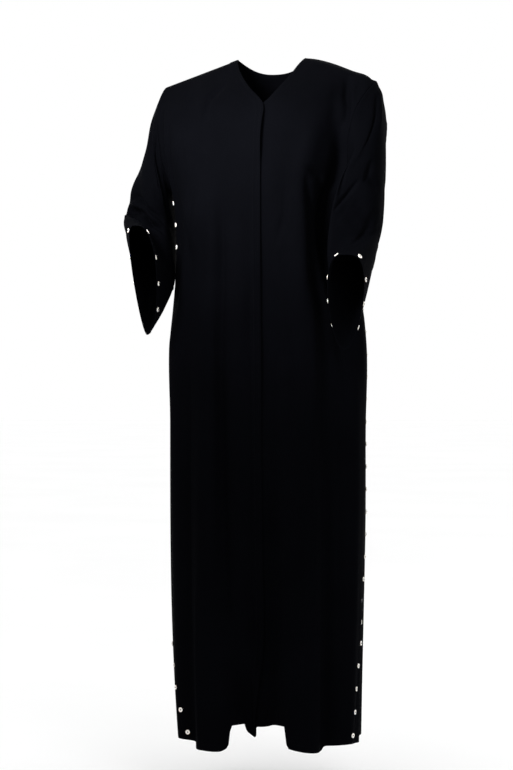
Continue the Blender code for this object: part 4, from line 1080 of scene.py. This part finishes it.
def ramp(tree, source, place, stops):
    """A colour ramp of (position, colour) stops."""
    made = add_node(tree, "ShaderNodeValToRGB", place)
    while len(made.color_ramp.elements) < len(stops):
        made.color_ramp.elements.new(0.5)
    for element, (position, colour) in zip(made.color_ramp.elements, stops):
        element.position = position
        element.color = (*colour, 1.0)
    tree.links.new(source, made.inputs["Fac"])
    return made.outputs["Color"]


def threads(tree, source, place, direction, scale):
    """The ridges of the weave's threads in one direction."""
    made = add_node(tree, "ShaderNodeTexWave", place, wave_type="BANDS", bands_direction=direction)
    set_sockets(made, {"Scale": scale, "Distortion": 2.0})
    tree.links.new(source, made.inputs["Vector"])
    return made.outputs["Fac"]


def between(tree, source, place, span, onto=(0.0, 1.0), **values):
    """Where a value lies within a span, carried onto another span."""
    made = add_node(tree, "ShaderNodeMapRange", place, **values)
    set_sockets(made, {"From Min": span[0], "From Max": span[1], "To Min": onto[0], "To Max": onto[1]})
    tree.links.new(source, made.inputs["Value"])
    return made.outputs["Result"]


def bump(tree, height, under, place, strength, distance):
    """A bump over another bump."""
    made = add_node(tree, "ShaderNodeBump", place)
    set_sockets(made, {"Strength": strength, "Distance": distance})
    tree.links.new(height, made.inputs["Height"])
    if under:
        tree.links.new(under, made.inputs["Normal"])
    return made.outputs["Normal"]


def worked(tree, kind, place, *terms):
    """Values joined by a math node; each may be a number."""
    made = add_node(tree, "ShaderNodeMath", place, operation=kind)
    for socket, term in zip(made.inputs, terms):
        if isinstance(term, (int, float)):
            socket.default_value = term
        else:
            tree.links.new(term, socket)
    return made.outputs[0]


@functools.cache
def crepe_material():
    """Matt black crepe: a pebbly twisted weave, uneven dye, and a pressed line along each hem."""
    settings = bpy.context.scene.abaya_cloth
    made, shader, tree = new_material("crepe")
    uv = add_node(tree, "ShaderNodeUVMap", (-1500, -200), uv_map="cut").outputs["UV"]
    place = add_node(tree, "ShaderNodeTexCoord", (-1500, 200)).outputs["Object"]
    edge = add_node(tree, "ShaderNodeAttribute", (-1500, -600), attribute_name="edge").outputs["Fac"]

    dye = noise(tree, place, (-1100, 300), 7.0, 4.0)
    fibre = noise(tree, uv, (-1100, 60), 900.0, 2.0, stretch=(1.0, 0.35, 1.0))
    mixed = worked(tree, "MULTIPLY", (-850, 250), dye, fibre)
    black = np.array(settings.colour)
    colour = ramp(tree, mixed, (-650, 300), (
        (0.10, tuple(black * 0.78)), (0.26, tuple(black)), (0.46, tuple(black * 1.30))))
    tree.links.new(colour, shader.inputs["Base Color"])

    worn = between(tree, edge, (-1100, -600), (0.0, WORN_OVER), (-WORN_BY, 0.0))
    uneven = worked(tree, "MULTIPLY_ADD", (-650, -100), fibre, 0.16, settings.roughness - 0.08)
    rough = worked(tree, "ADD", (-450, -100), uneven, worn)
    tree.links.new(rough, shader.inputs["Roughness"])

    pebble = noise(tree, uv, (-1100, -200), 1300.0, 2.0, 0.6, stretch=(1.0, 0.6, 1.0))
    crinkle = noise(tree, uv, (-1100, -400), 260.0, 2.0, 0.5, stretch=(1.0, 0.28, 1.0))
    warp = threads(tree, uv, (-1100, -900), "X", 620.0)
    weft = threads(tree, uv, (-1100, -1200), "Y", 560.0)
    weave = worked(tree, "MULTIPLY", (-850, -1000), warp, weft)
    away = worked(tree, "SUBTRACT", (-850, -700), edge, settings.hem_depth - 0.003)
    away = worked(tree, "ABSOLUTE", (-750, -650), away)
    line = between(tree, away, (-650, -700), (0.0, 0.0018), interpolation_type="SMOOTHSTEP")
    normal = bump(tree, line, None, (-450, -700), 0.35, 0.0006)
    normal = bump(tree, crinkle, normal, (-250, -600), 0.30, 0.0009)
    normal = bump(tree, weave, normal, (-250, -450), 0.30, 0.0002)
    normal = bump(tree, pebble, normal, (-50, -400), settings.crepe_depth, 0.0005)
    tree.links.new(normal, shader.inputs["Normal"])
    set_sockets(shader, {
        "Sheen Weight": settings.sheen, "Sheen Roughness": 0.45, "Sheen Tint": (0.62, 0.66, 0.86, 1.0),
        "Specular IOR Level": 0.004})
    return made


@functools.cache
def thread_material():
    """Black sewing thread, twisted and a little glossier than the crepe."""
    made, shader, tree = new_material("thread")
    place = add_node(tree, "ShaderNodeTexCoord", (-900, 0)).outputs["Object"]
    twist = noise(tree, place, (-600, 0), 2600.0, 2.0)
    black = np.array(bpy.context.scene.abaya_thread.colour)
    colour = ramp(tree, twist, (-350, 100), ((0.3, tuple(black * 0.7)), (0.7, tuple(black * 1.5))))
    tree.links.new(colour, shader.inputs["Base Color"])
    tree.links.new(bump(tree, twist, None, (-200, -200), 0.4, 0.0002), shader.inputs["Normal"])
    set_sockets(shader, {"Roughness": 0.58, "Specular IOR Level": 0.03})
    return made


@functools.cache
def pearl_material():
    """River shell: cream with faint pink and green bands, glossy on top."""
    made, shader, tree = new_material("pearl")
    place = add_node(tree, "ShaderNodeTexCoord", (-1300, 0)).outputs["Object"]
    bands = noise(tree, place, (-900, 200), 210.0, 3.0, 0.6, stretch=(1.0, 0.5, 2.2))
    cream = np.array(bpy.context.scene.abaya_buttons.colour)
    colour = ramp(tree, bands, (-600, 250), (
        (0.25, tuple(cream * (0.86, 0.92, 0.88))), (0.45, tuple(cream)),
        (0.60, tuple(cream * (1.06, 0.98, 0.99))), (0.80, tuple(cream * (0.93, 1.0, 1.06)))))
    tree.links.new(colour, shader.inputs["Base Color"])
    cloud = noise(tree, place, (-900, -100), 600.0, 2.0)
    rough = worked(tree, "MULTIPLY_ADD", (-600, -100), cloud, 0.16, 0.16)
    tree.links.new(rough, shader.inputs["Roughness"])
    tree.links.new(bump(tree, bands, None, (-350, -300), 0.12, 0.0004), shader.inputs["Normal"])
    set_sockets(shader, {
        "Coat Weight": 0.6, "Coat Roughness": 0.08, "Subsurface Weight": 0.15,
        "Subsurface Radius": (0.002, 0.0016, 0.0012), "Subsurface Scale": 0.5})
    return made


# Buttons

def deselect():
    """Leave object mode with nothing selected."""
    if bpy.context.object and bpy.context.object.mode != "OBJECT":
        bpy.ops.object.mode_set(mode="OBJECT")
    bpy.ops.object.select_all(action="DESELECT")


def pick_faces(obj, test):
    """Select the faces of the mesh in edit mode whose centre and normal pass a test."""
    bpy.ops.mesh.select_all(action="DESELECT")
    work = bmesh.from_edit_mesh(obj.data)
    for face in work.faces:
        face.select_set(test(face.calc_center_median(), face.normal))
    bmesh.update_edit_mesh(obj.data)


def pick_edges(obj, test):
    """Select the edges of the mesh in edit mode whose two ends pass a test."""
    bpy.ops.mesh.select_all(action="DESELECT")
    bpy.ops.mesh.select_mode(type="EDGE")
    work = bmesh.from_edit_mesh(obj.data)
    for edge in work.edges:
        edge.select_set(all(test(vertex.co) for vertex in edge.verts))
    work.select_flush_mode()
    bmesh.update_edit_mesh(obj.data)


def choose(*objects):
    """Select only these objects, with the first one active."""
    deselect()
    for chosen in objects:
        chosen.select_set(True)
    bpy.context.view_layer.objects.active = objects[0]


@functools.cache
def button_model():
    """Points, faces and face materials of one four-hole button, lying with its back at z 0."""
    settings = bpy.context.scene.abaya_buttons
    radius, height = settings.diameter / 2, settings.height
    deselect()
    bpy.ops.mesh.primitive_cylinder_add(
        vertices=36, radius=radius, depth=height, end_fill_type="NGON", location=(0, 0, height / 2))
    disc = bpy.context.object
    bpy.ops.object.transform_apply(location=True, rotation=True, scale=True)
    bpy.ops.object.mode_set(mode="EDIT")
    bpy.ops.mesh.select_mode(type="FACE")
    pick_faces(disc, lambda centre, normal: normal.z > 0.9)
    for width, depth in BUTTON_DISH:
        bpy.ops.mesh.inset(thickness=radius * width, depth=-height * depth)
    for level, width, segments in BUTTON_ROUNDING:
        pick_edges(disc, lambda point, z=height * level: abs(point.z - z) < height * 0.1
                   and math.hypot(point.x, point.y) > radius * 0.97)
        bpy.ops.mesh.bevel(offset=height * width, segments=segments, profile=0.5)
    bpy.ops.object.mode_set(mode="OBJECT")

    cutters = []
    for number in range(4):
        turn = math.radians(45 + 90 * number)
        deselect()
        bpy.ops.mesh.primitive_cylinder_add(
            vertices=10, radius=settings.hole / 2, depth=height * 4,
            location=(math.cos(turn) * radius * HOLES_OUT, math.sin(turn) * radius * HOLES_OUT, height / 2))
        cutters.append(bpy.context.object)
    choose(*cutters)
    bpy.ops.object.join()
    cutter = bpy.context.object
    drill = disc.modifiers.new("holes", "BOOLEAN")
    drill.operation, drill.solver, drill.object = "DIFFERENCE", "EXACT", cutter
    choose(disc)
    bpy.ops.object.modifier_apply(modifier=drill.name)
    bpy.ops.object.mode_set(mode="EDIT")
    bpy.ops.mesh.select_all(action="SELECT")
    bpy.ops.mesh.quads_convert_to_tris(quad_method="BEAUTY", ngon_method="BEAUTY")
    bpy.ops.object.mode_set(mode="OBJECT")
    points = np.array([vertex.co[:] for vertex in disc.data.vertices])
    faces = [list(face.vertices) for face in disc.data.polygons]
    bpy.data.objects.remove(cutter, do_unlink=True)
    bpy.data.objects.remove(disc, do_unlink=True)
    if len(faces) < 100 or np.abs(points[:, :2]).max() > radius * 1.02:
        raise RuntimeError("the button's disc or holes were not cut")

    kinds = [0] * len(faces)
    thick = settings.hole * THREAD_IN_HOLE
    for turn, lift in BUTTON_STITCHES:
        line = thread_arc(radius * HOLES_OUT, height, math.radians(turn), thick, lift)
        tube, tube_faces = tube_mesh(line, thick, 6)
        faces += [[len(points) + index for index in face] for face in tube_faces]
        points = np.concatenate([points, tube])
        kinds += [1] * len(tube_faces)
    return points, faces, kinds


def thread_arc(reach, height, turn, thick, lift):
    """The line of one stitch up through a hole, across the dish and down the opposite hole."""
    way = np.array([math.cos(turn), math.sin(turn), 0.0])
    floor = height * (1 - sum(depth for _, depth in BUTTON_DISH)) + thick * lift
    rise = ((-1.0, -0.0003), (-1.0, height * 0.5), (-0.80, floor - thick * 0.3), (-0.4, floor))
    fall = tuple((-across, up) for across, up in rise[::-1])
    return np.array([way * reach * across + (0, 0, up) for across, up in (*rise, (0.0, floor), *fall)])


def tube_mesh(line, radius, sides):
    """A closed tube round a short line of points."""
    along = unit(np.gradient(line, axis=0))
    side = unit(np.cross(along, np.cross(line[-1] - line[0], (0.0, 0.0, 1.0))))
    across = np.cross(along, side)
    turns = (2 * math.pi * np.arange(sides) / sides)[:, None]
    rings = line[:, None] + radius * (side[:, None] * np.cos(turns) + across[:, None] * np.sin(turns))
    count = len(line)
    faces = [tuple(range(sides))[::-1], tuple((count - 1) * sides + n for n in range(sides))]
    for ring in range(count - 1):
        for n in range(sides):
            a, b = ring * sides + n, ring * sides + (n + 1) % sides
            faces.append((a, b, b + sides, a + sides))
    return rings.reshape(-1, 3), faces


@functools.cache
def cloth_skin():
    """The cloth's outer faces, to feel for where a button sits."""
    points, faces, count = [], [], 0
    for key, sheet in garment()[0].items():
        rows, columns = sheet.shape[0] - 1, sheet.shape[1]
        closed = key.startswith("sleeve")
        outer = skin_faces(rows, columns, closed, False)[:rows * (columns if closed else columns - 1)]
        faces += (outer + count).tolist()
        points += sheet.reshape(-1, 3).tolist()
        count += rows * columns + columns
    return BVHTree.FromPolygons(points, faces)


def across_and_up(out):
    """The level direction and the upward one that lie square to a direction out of the cloth."""
    side = unit(np.cross((0.0, 0.0, 1.0), out))
    return side, np.cross(out, side)


def ring_of(place, out, radius):
    """Points round a circle on the cloth."""
    side, up = across_and_up(out)
    turns = (2 * math.pi * np.arange(FEEL_POINTS) / FEEL_POINTS)[:, None]
    return place + radius * (side * np.cos(turns) + up * np.sin(turns))


def feel(points, out):
    """Where the cloth lies over or under each point, along one direction."""
    skin = cloth_skin()
    hits = [skin.ray_cast(Vector(point + out * FEEL_REACH), Vector(-out), 2 * FEEL_REACH)[0]
            for point in points]
    return np.array([point if hit is None else np.array(hit) for hit, point in zip(hits, points)])


def seated_button(place, out, spin):
    """One button's points, seated on the cloth at a place, and turned on its thread."""
    radius = bpy.context.scene.abaya_buttons.diameter / 2
    felt = feel(ring_of(place, out, radius * 0.9), out)
    out = unit(np.cross(felt, np.roll(felt, -1, axis=0)).sum(axis=0))
    felt = feel(np.concatenate([ring_of(place, out, radius * share) for share in (0.05, 0.5, 1.0)]), out)
    low = ((felt - place) @ out).max() + SEAT_CLEAR
    side, up = across_and_up(out)
    across = side * math.cos(spin) + up * math.sin(spin)
    upward = up * math.cos(spin) - side * math.sin(spin)
    return button_model()[0] @ np.array([across, upward, out]) + place + out * low


def button_row(name, places, nodes):
    """A row of buttons as one piece, in place of its solids."""
    points, faces, kinds, count = [], [], [], 0
    most, step, first = BUTTON_TURNS
    for number, (place, out) in enumerate(places):
        made = seated_button(place, out, most * math.sin(step * number + first))
        faces += [[count + index for index in face] for face in button_model()[1]]
        kinds += button_model()[2]
        count += len(made)
        points.append(made)
    piece = new_mesh_piece(name, np.concatenate(points), faces, pearl_material())
    piece.data.materials.append(thread_material())
    piece.data.polygons.foreach_set("material_index", kinds)
    choose(piece)
    bpy.ops.object.shade_smooth_by_angle(angle=math.radians(32))
    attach(piece, "root")
    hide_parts(*nodes)


def solid_button(node):
    """The middle of a solid button's back and the direction out of it."""
    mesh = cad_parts[node].data
    mesh.calc_loop_triangles()
    points = np.array([vertex.co[:] for vertex in mesh.vertices])
    sides = points[np.array([triangle.vertices[:] for triangle in mesh.loop_triangles])]
    square = np.cross(sides[:, 1] - sides[:, 0], sides[:, 2] - sides[:, 0])
    sizes = np.linalg.norm(square, axis=1)
    flat = square[np.argmax(sizes)] / sizes.max()
    along = points @ flat
    ends = [points[along > along.max() - FLAT_WITHIN], points[along < along.min() + FLAT_WITHIN]]
    widths = [np.linalg.norm(end - end.mean(axis=0), axis=1).max() for end in ends]
    back = int(np.argmax(widths))
    return ends[back].mean(axis=0), flat if back == 1 else -flat


def seam_places(side):
    """Places up a side seam above the solid buttons, in the same even steps."""
    grid, normals = garment()
    points, ways = grid["front_" + side], normals["front_" + side]
    settings = bpy.context.scene.abaya_buttons
    edge = points[::-1, -1]
    top = running(edge[:SKIRT_ROWS + len(HEM_STEPS)])[-1] - SIDE_BUTTON_TOP
    places = []
    for number in range(SOLID_SIDE_BUTTONS, settings.side_count):
        distance = SIDE_BUTTON_HEM + number * settings.pitch
        if distance > top:
            break
        step, share = walk(edge, distance)
        row = len(points) - 2 - step
        line = (points[row] * share + points[row + 1] * (1 - share))[::-1]
        column, past = walk(line, SIDE_BUTTON_INSET)
        spot = line[column] * (1 - past) + line[column + 1] * past
        places.append((spot, ways[row, points.shape[1] - 2 - column]))
    return places


# Stitching

def inset_path(lines, ways, inset):
    """Places a set distance in from an edge, and the directions out of the cloth there.

    Each line of points runs inwards from the edge.
    """
    ends = running(lines, 1)
    index = np.clip((ends < inset).sum(axis=1) - 1, 0, lines.shape[1] - 2)
    n = np.arange(len(lines))
    steps = np.maximum(ends[n, index + 1] - ends[n, index], 1e-9)
    share = ((inset - ends[n, index]) / steps)[:, None]
    spot = lines[n, index] * (1 - share) + lines[n, index + 1] * share
    return spot, unit(ways[n, index] * (1 - share) + ways[n, index + 1] * share)


def stitch_line(path, ways, settings, closed=False):
    """Points of a row of straight stitches along a path, ten for each stitch."""
    if closed:
        path, ways = np.concatenate([path, path[:1]]), np.concatenate([ways, ways[:1]])
    ends = running(path)
    count = int(ends[-1] / settings.pitch)
    middles = (np.arange(count) + 0.5) * ends[-1] / max(count, 1)

    def at(distance, values):
        return np.stack([np.interp(distance, ends, values[:, axis]) for axis in range(3)], axis=-1)

    half = settings.pitch * STITCH_HALF
    start, end = at(middles - half, path), at(middles + half, path)
    out = unit(at(middles, ways))
    along = unit(end - start)
    side = np.cross(along, out)
    thick = settings.thickness / 2
    parts = [start - out * thick * STITCH_SINK]
    for share in (0.25, 0.75):
        middle = start + (end - start) * share + out * thick * STITCH_RISE
        parts += [middle + side * thick, middle + out * thick, middle - side * thick, middle - out * thick]
    parts.append(end - out * thick * STITCH_SINK)
    return np.stack(parts, axis=1).reshape(-1, 3)


def stitch_faces(count):
    """Faces of that many stitches."""
    one = []
    for n in range(4):
        after = (n + 1) % 4
        one += [(0, 1 + after, 1 + n), (1 + n, 1 + after, 5 + after), (1 + n, 5 + after, 5 + n),
                (9, 5 + n, 5 + after)]
    return (np.array(one) + STITCH_POINTS * np.arange(count)[:, None, None]).reshape(-1, 3)


def seam_stitching(key):
    """All the stitch lines of one cloth piece as paths with their directions."""
    grid, normals = garment()
    points, ways = grid[key], normals[key]
    hem = inset_path(*(part[::-1].transpose(1, 0, 2) for part in (points, ways)), HEM_STITCH)
    if key.startswith("sleeve"):
        return [(*hem, True)]
    hem = [part[:-1] for part in hem]
    if key == "back":
        middle = slice(FRONT_COLUMNS, -FRONT_COLUMNS)
        yoke = (part[:YOKE_ROWS, middle].transpose(1, 0, 2) for part in (points, ways))
        neck = inset_path(*yoke, NECK_STITCH)
        return [(*(part[1:] for part in hem), False), (*(part[1:-1] for part in neck), False)]
    edge = inset_path(points, ways, NECK_STITCH)
    last = YOKE_ROWS if key == "front_left" else len(points) - 3
    lines = [(*hem, False), (*(part[2:last] for part in edge), False)]
    if key == "front_right":
        placket = inset_path(points, ways, PLACKET_STITCH)
        lines.append((*(part[YOKE_ROWS:last] for part in placket), False))
    return lines


# Settings

class AbayaCloth(bpy.types.PropertyGroup):
    """Sizes and finish of the crepe."""

    wall: FloatProperty(name="Wall", description="Thickness of one layer of crepe", default=0.0007,
                        min=0.0003, max=0.0016, precision=4, unit="LENGTH")
    hem_depth: FloatProperty(name="Hem depth", description="Depth of every turned-up edge", default=0.0140,
                             min=0.004, max=0.03, precision=4, unit="LENGTH")
    colour: FloatVectorProperty(name="Dye", description="Colour of the crepe", subtype="COLOR",
                                default=(0.0010, 0.00108, 0.0016), min=0, max=1)
    roughness: FloatProperty(name="Roughness", description="How matt the crepe is", default=0.80,
                             min=0.3, max=1, subtype="FACTOR")
    sheen: FloatProperty(name="Sheen", description="Strength of the soft bloom at grazing angles",
                         default=0.002, min=0, max=1, subtype="FACTOR")
    crepe_depth: FloatProperty(name="Crepe grain", description="Depth of the pebbly grain", default=0.55,
                               min=0, max=1, subtype="FACTOR")


class AbayaButtons(bpy.types.PropertyGroup):
    """Sizes and colour of the pearl buttons."""

    diameter: FloatProperty(name="Diameter", description="Width of a button", default=0.0094,
                            min=0.006, max=0.014, precision=4, unit="LENGTH")
    height: FloatProperty(name="Height", description="Thickness of a button", default=0.0019,
                          min=0.001, max=0.004, precision=4, unit="LENGTH")
    hole: FloatProperty(name="Hole", description="Width of a thread hole", default=0.00115,
                        min=0.0005, max=0.002, precision=5, unit="LENGTH")
    pitch: FloatProperty(name="Pitch", description="Distance between buttons up a side seam", default=0.0458,
                         min=0.02, max=0.1, precision=4, unit="LENGTH")
    side_count: IntProperty(name="Side buttons", description="Buttons up one whole side seam", default=25,
                            min=17, max=25)
    colour: FloatVectorProperty(name="Shell", description="Colour of the shell", subtype="COLOR",
                                default=(0.80, 0.78, 0.72), min=0, max=1)


class AbayaThread(bpy.types.PropertyGroup):
    """Sizes and colour of the sewing thread."""

    pitch: FloatProperty(name="Stitch length", description="Distance from stitch to stitch", default=0.0030,
                         min=0.0015, max=0.006, precision=4, unit="LENGTH")
    thickness: FloatProperty(name="Thickness", description="Thickness of the thread", default=0.00040,
                             min=0.0001, max=0.001, precision=5, unit="LENGTH")
    colour: FloatVectorProperty(name="Colour", description="Colour of the thread", subtype="COLOR",
                                default=(0.0022, 0.0023, 0.0032), min=0, max=1)


class AbayaStage(bpy.types.PropertyGroup):
    """The floor, light and camera."""

    floor_drop: FloatProperty(name="Floor", description="Distance from the lowest hem down to the floor",
                              default=0.09, min=0.0, max=0.3, precision=3, unit="LENGTH")
    key_power: FloatProperty(name="Key light", description="Power of the large front light in watts",
                             default=4.6, min=0, max=500)
    fill_power: FloatProperty(name="Fill light", description="Power of the softer light on the other side",
                              default=7.0, min=0, max=500)
    surround: FloatProperty(name="Surround", description="Brightness of the pale room as a light",
                            default=1.06, min=0, max=2)


# Operators

class MakeFronts(bpy.types.Operator):
    """Make the two lapped fronts"""

    bl_idname = "abaya.make_fronts"
    bl_label = "Fronts"

    def execute(self, context):
        """Make the wearer's left front, then the right one, which laps over it."""
        cloth_piece("front_left")
        cloth_piece("front_right")
        return {"FINISHED"}


class MakeBack(bpy.types.Operator):
    """Make the back, cut in one"""

    bl_idname = "abaya.make_back"
    bl_label = "Back"

    def execute(self, context):
        """Make the back with its neckline and folds."""
        cloth_piece("back")
        return {"FINISHED"}


class MakeSleeves(bpy.types.Operator):
    """Make the two wide sleeves"""

    bl_idname = "abaya.make_sleeves"
    bl_label = "Sleeves"

    def execute(self, context):
        """Make both sleeves with their creases at the bent elbows."""
        for side in BACK_EDGES:
            cloth_piece("sleeve_" + side)
        return {"FINISHED"}


class MakeSideButtons(bpy.types.Operator):
    """Make the pearl buttons up both side seams"""

    bl_idname = "abaya.make_side_buttons"
    bl_label = "Side buttons"

    def execute(self, context):
        """Seat the solid buttons' finer forms, and the same buttons on up to the underarm."""
        for side in BACK_EDGES:
            nodes = sorted(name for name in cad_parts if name.startswith("side_button_" + side))
            if len(nodes) != SOLID_SIDE_BUTTONS:
                raise RuntimeError("a side seam's solid buttons are not all there")
            places = [solid_button(node) for node in nodes] + seam_places(side)
            button_row("side_buttons_" + side, places, nodes)
        return {"FINISHED"}


class MakeCuffButtons(bpy.types.Operator):
    """Make the pearl buttons round both sleeve hems"""

    bl_idname = "abaya.make_cuff_buttons"
    bl_label = "Cuff buttons"

    def execute(self, context):
        """Seat the finer forms of the solid buttons."""
        for side in BACK_EDGES:
            nodes = sorted(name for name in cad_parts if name.startswith("cuff_button_" + side))
            button_row("cuff_buttons_" + side, [solid_button(node) for node in nodes], nodes)
        return {"FINISHED"}


class MakeStitching(bpy.types.Operator):
    """Make the stitching along every finished edge"""

    bl_idname = "abaya.make_stitching"
    bl_label = "Stitching"

    def execute(self, context):
        """Lay one row of stitches along each hem and edge, and a second along the placket."""
        for key in CUTS:
            points = np.concatenate([
                stitch_line(path, ways, context.scene.abaya_thread, closed)
                for path, ways, closed in seam_stitching(key)])
            faces = stitch_faces(len(points) // STITCH_POINTS)
            piece = new_mesh_piece(key + "_stitching", points, faces, thread_material())
            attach(piece, "root")
        return {"FINISHED"}


def make_light(name, place, aim, size, beam, power):
    """A round soft light that points at a place."""
    deselect()
    bpy.ops.object.light_add(type="AREA", location=place)
    light = bpy.context.object
    light.name = name
    light.data.shape = "DISK"
    light.data.size = size
    light.data.spread = math.radians(beam)
    light.data.energy = power
    light.rotation_mode = "QUATERNION"
    light.rotation_quaternion = (Vector(aim) - Vector(place)).to_track_quat("-Z", "Y")


def make_room(scene, surround):
    """A white room to look at, whose light on the garment has its own strength."""
    room = bpy.data.worlds.new("pale room")
    scene.world = room
    room.use_nodes = True
    tree = room.node_tree
    seen = tree.nodes["Background"]
    lighting = add_node(tree, "ShaderNodeBackground", (0, -200))
    for node, strength in ((seen, 1.0), (lighting, surround)):
        set_sockets(node, {"Color": (1.0, 1.0, 1.0, 1.0), "Strength": strength})
    ray = add_node(tree, "ShaderNodeLightPath", (-200, 200))
    mix = add_node(tree, "ShaderNodeMixShader", (250, 0))
    tree.links.new(ray.outputs["Is Camera Ray"], mix.inputs["Fac"])
    tree.links.new(lighting.outputs["Background"], mix.inputs[1])
    tree.links.new(seen.outputs["Background"], mix.inputs[2])
    tree.links.new(mix.outputs["Shader"], tree.nodes["World Output"].inputs["Surface"])


def make_camera(scene):
    """The camera at the photograph's own viewing angle."""
    turn = math.radians(CAMERA_TURN)
    back = Vector((math.sin(turn), -math.cos(turn), 0.0))
    right = Vector((math.cos(turn), math.sin(turn), 0.0))
    place = back * CAMERA_AWAY + right * CAMERA_ASIDE + Vector((0, 0, CAMERA_LEVEL))
    bpy.ops.object.camera_add(location=place)
    camera = bpy.context.object
    camera.rotation_mode = "QUATERNION"
    camera.rotation_quaternion = (-back).to_track_quat("-Z", "Y")
    camera.data.sensor_width = CAMERA_SENSOR
    camera.data.lens = CAMERA_LENS
    camera.data.clip_start, camera.data.clip_end = CAMERA_CLIP
    scene.camera = camera


class MakeStage(bpy.types.Operator):
    """Make the pale floor, the soft light and the camera"""

    bl_idname = "abaya.make_stage"
    bl_label = "Stage"

    def execute(self, context):
        """Make the floor under the hem, three soft lights, a pale room and the camera."""
        settings = context.scene.abaya_stage
        deselect()
        bpy.ops.mesh.primitive_circle_add(
            vertices=96, radius=FLOOR_RADIUS, fill_type="NGON", location=(0, 0, 0))
        floor = context.object
        floor.name = "floor"
        for vertex in floor.data.vertices:
            vertex.co.z = cad_box[0].z - settings.floor_drop
        floor.data.materials.append(floor_material())

        powers = (settings.key_power, settings.fill_power, settings.fill_power / 2)
        for light, power in zip(LIGHTS, powers):
            make_light(*light, power)
        make_room(context.scene, settings.surround)
        make_camera(context.scene)
        context.scene.view_settings.view_transform = "Standard"
        return {"FINISHED"}


def floor_material():
    """A pale matt floor with a faint mottling."""
    made, shader, tree = new_material("pale_floor")
    place = add_node(tree, "ShaderNodeTexCoord", (-900, 0)).outputs["Object"]
    cloud = noise(tree, place, (-600, 0), 1.2, 3.0)
    colour = ramp(tree, cloud, (-350, 0), ((0.3, (0.93, 0.93, 0.93)), (0.7, (0.95, 0.95, 0.95))))
    tree.links.new(colour, shader.inputs["Base Color"])
    set_sockets(shader, {"Roughness": 0.9, "Specular IOR Level": 0.1})
    return made


class AbayaPanel(bpy.types.Panel):
    """Lists the garment's pieces and settings"""

    bl_idname = "ABAYA_PT_pieces"
    bl_label = "Abaya"
    bl_space_type = "VIEW_3D"
    bl_region_type = "UI"
    bl_category = "Abaya"

    def draw(self, context):
        """Draw each group of settings, then a button for each piece."""
        for title, group in (("Crepe", "abaya_cloth"), ("Buttons", "abaya_buttons"),
                             ("Thread", "abaya_thread"), ("Stage", "abaya_stage")):
            box = self.layout.box()
            box.label(text=title)
            settings = getattr(context.scene, group)
            for name in settings.__annotations__:
                box.prop(settings, name)
        column = self.layout.column()
        for operator in OPERATORS:
            column.operator(operator.bl_idname)


GROUPS = {"abaya_cloth": AbayaCloth, "abaya_buttons": AbayaButtons, "abaya_thread": AbayaThread,
          "abaya_stage": AbayaStage}
OPERATORS = (MakeFronts, MakeBack, MakeSleeves, MakeSideButtons, MakeCuffButtons, MakeStitching, MakeStage)


def register():
    """Add the settings, operators and panel."""
    for name, group in GROUPS.items():
        bpy.utils.register_class(group)
        setattr(bpy.types.Scene, name, PointerProperty(type=group))
    for made in (*OPERATORS, AbayaPanel):
        bpy.utils.register_class(made)


def unregister():
    """Take them away again."""
    for made in (AbayaPanel, *reversed(OPERATORS)):
        bpy.utils.unregister_class(made)
    for name, group in reversed(GROUPS.items()):
        delattr(bpy.types.Scene, name)
        bpy.utils.unregister_class(group)


def main():
    """Make every piece in order."""
    register()
    bpy.ops.abaya.make_fronts()
    bpy.ops.abaya.make_back()
    bpy.ops.abaya.make_sleeves()
    bpy.ops.abaya.make_side_buttons()
    bpy.ops.abaya.make_cuff_buttons()
    bpy.ops.abaya.make_stitching()
    bpy.ops.abaya.make_stage()


if __name__ == "__main__":
    main()
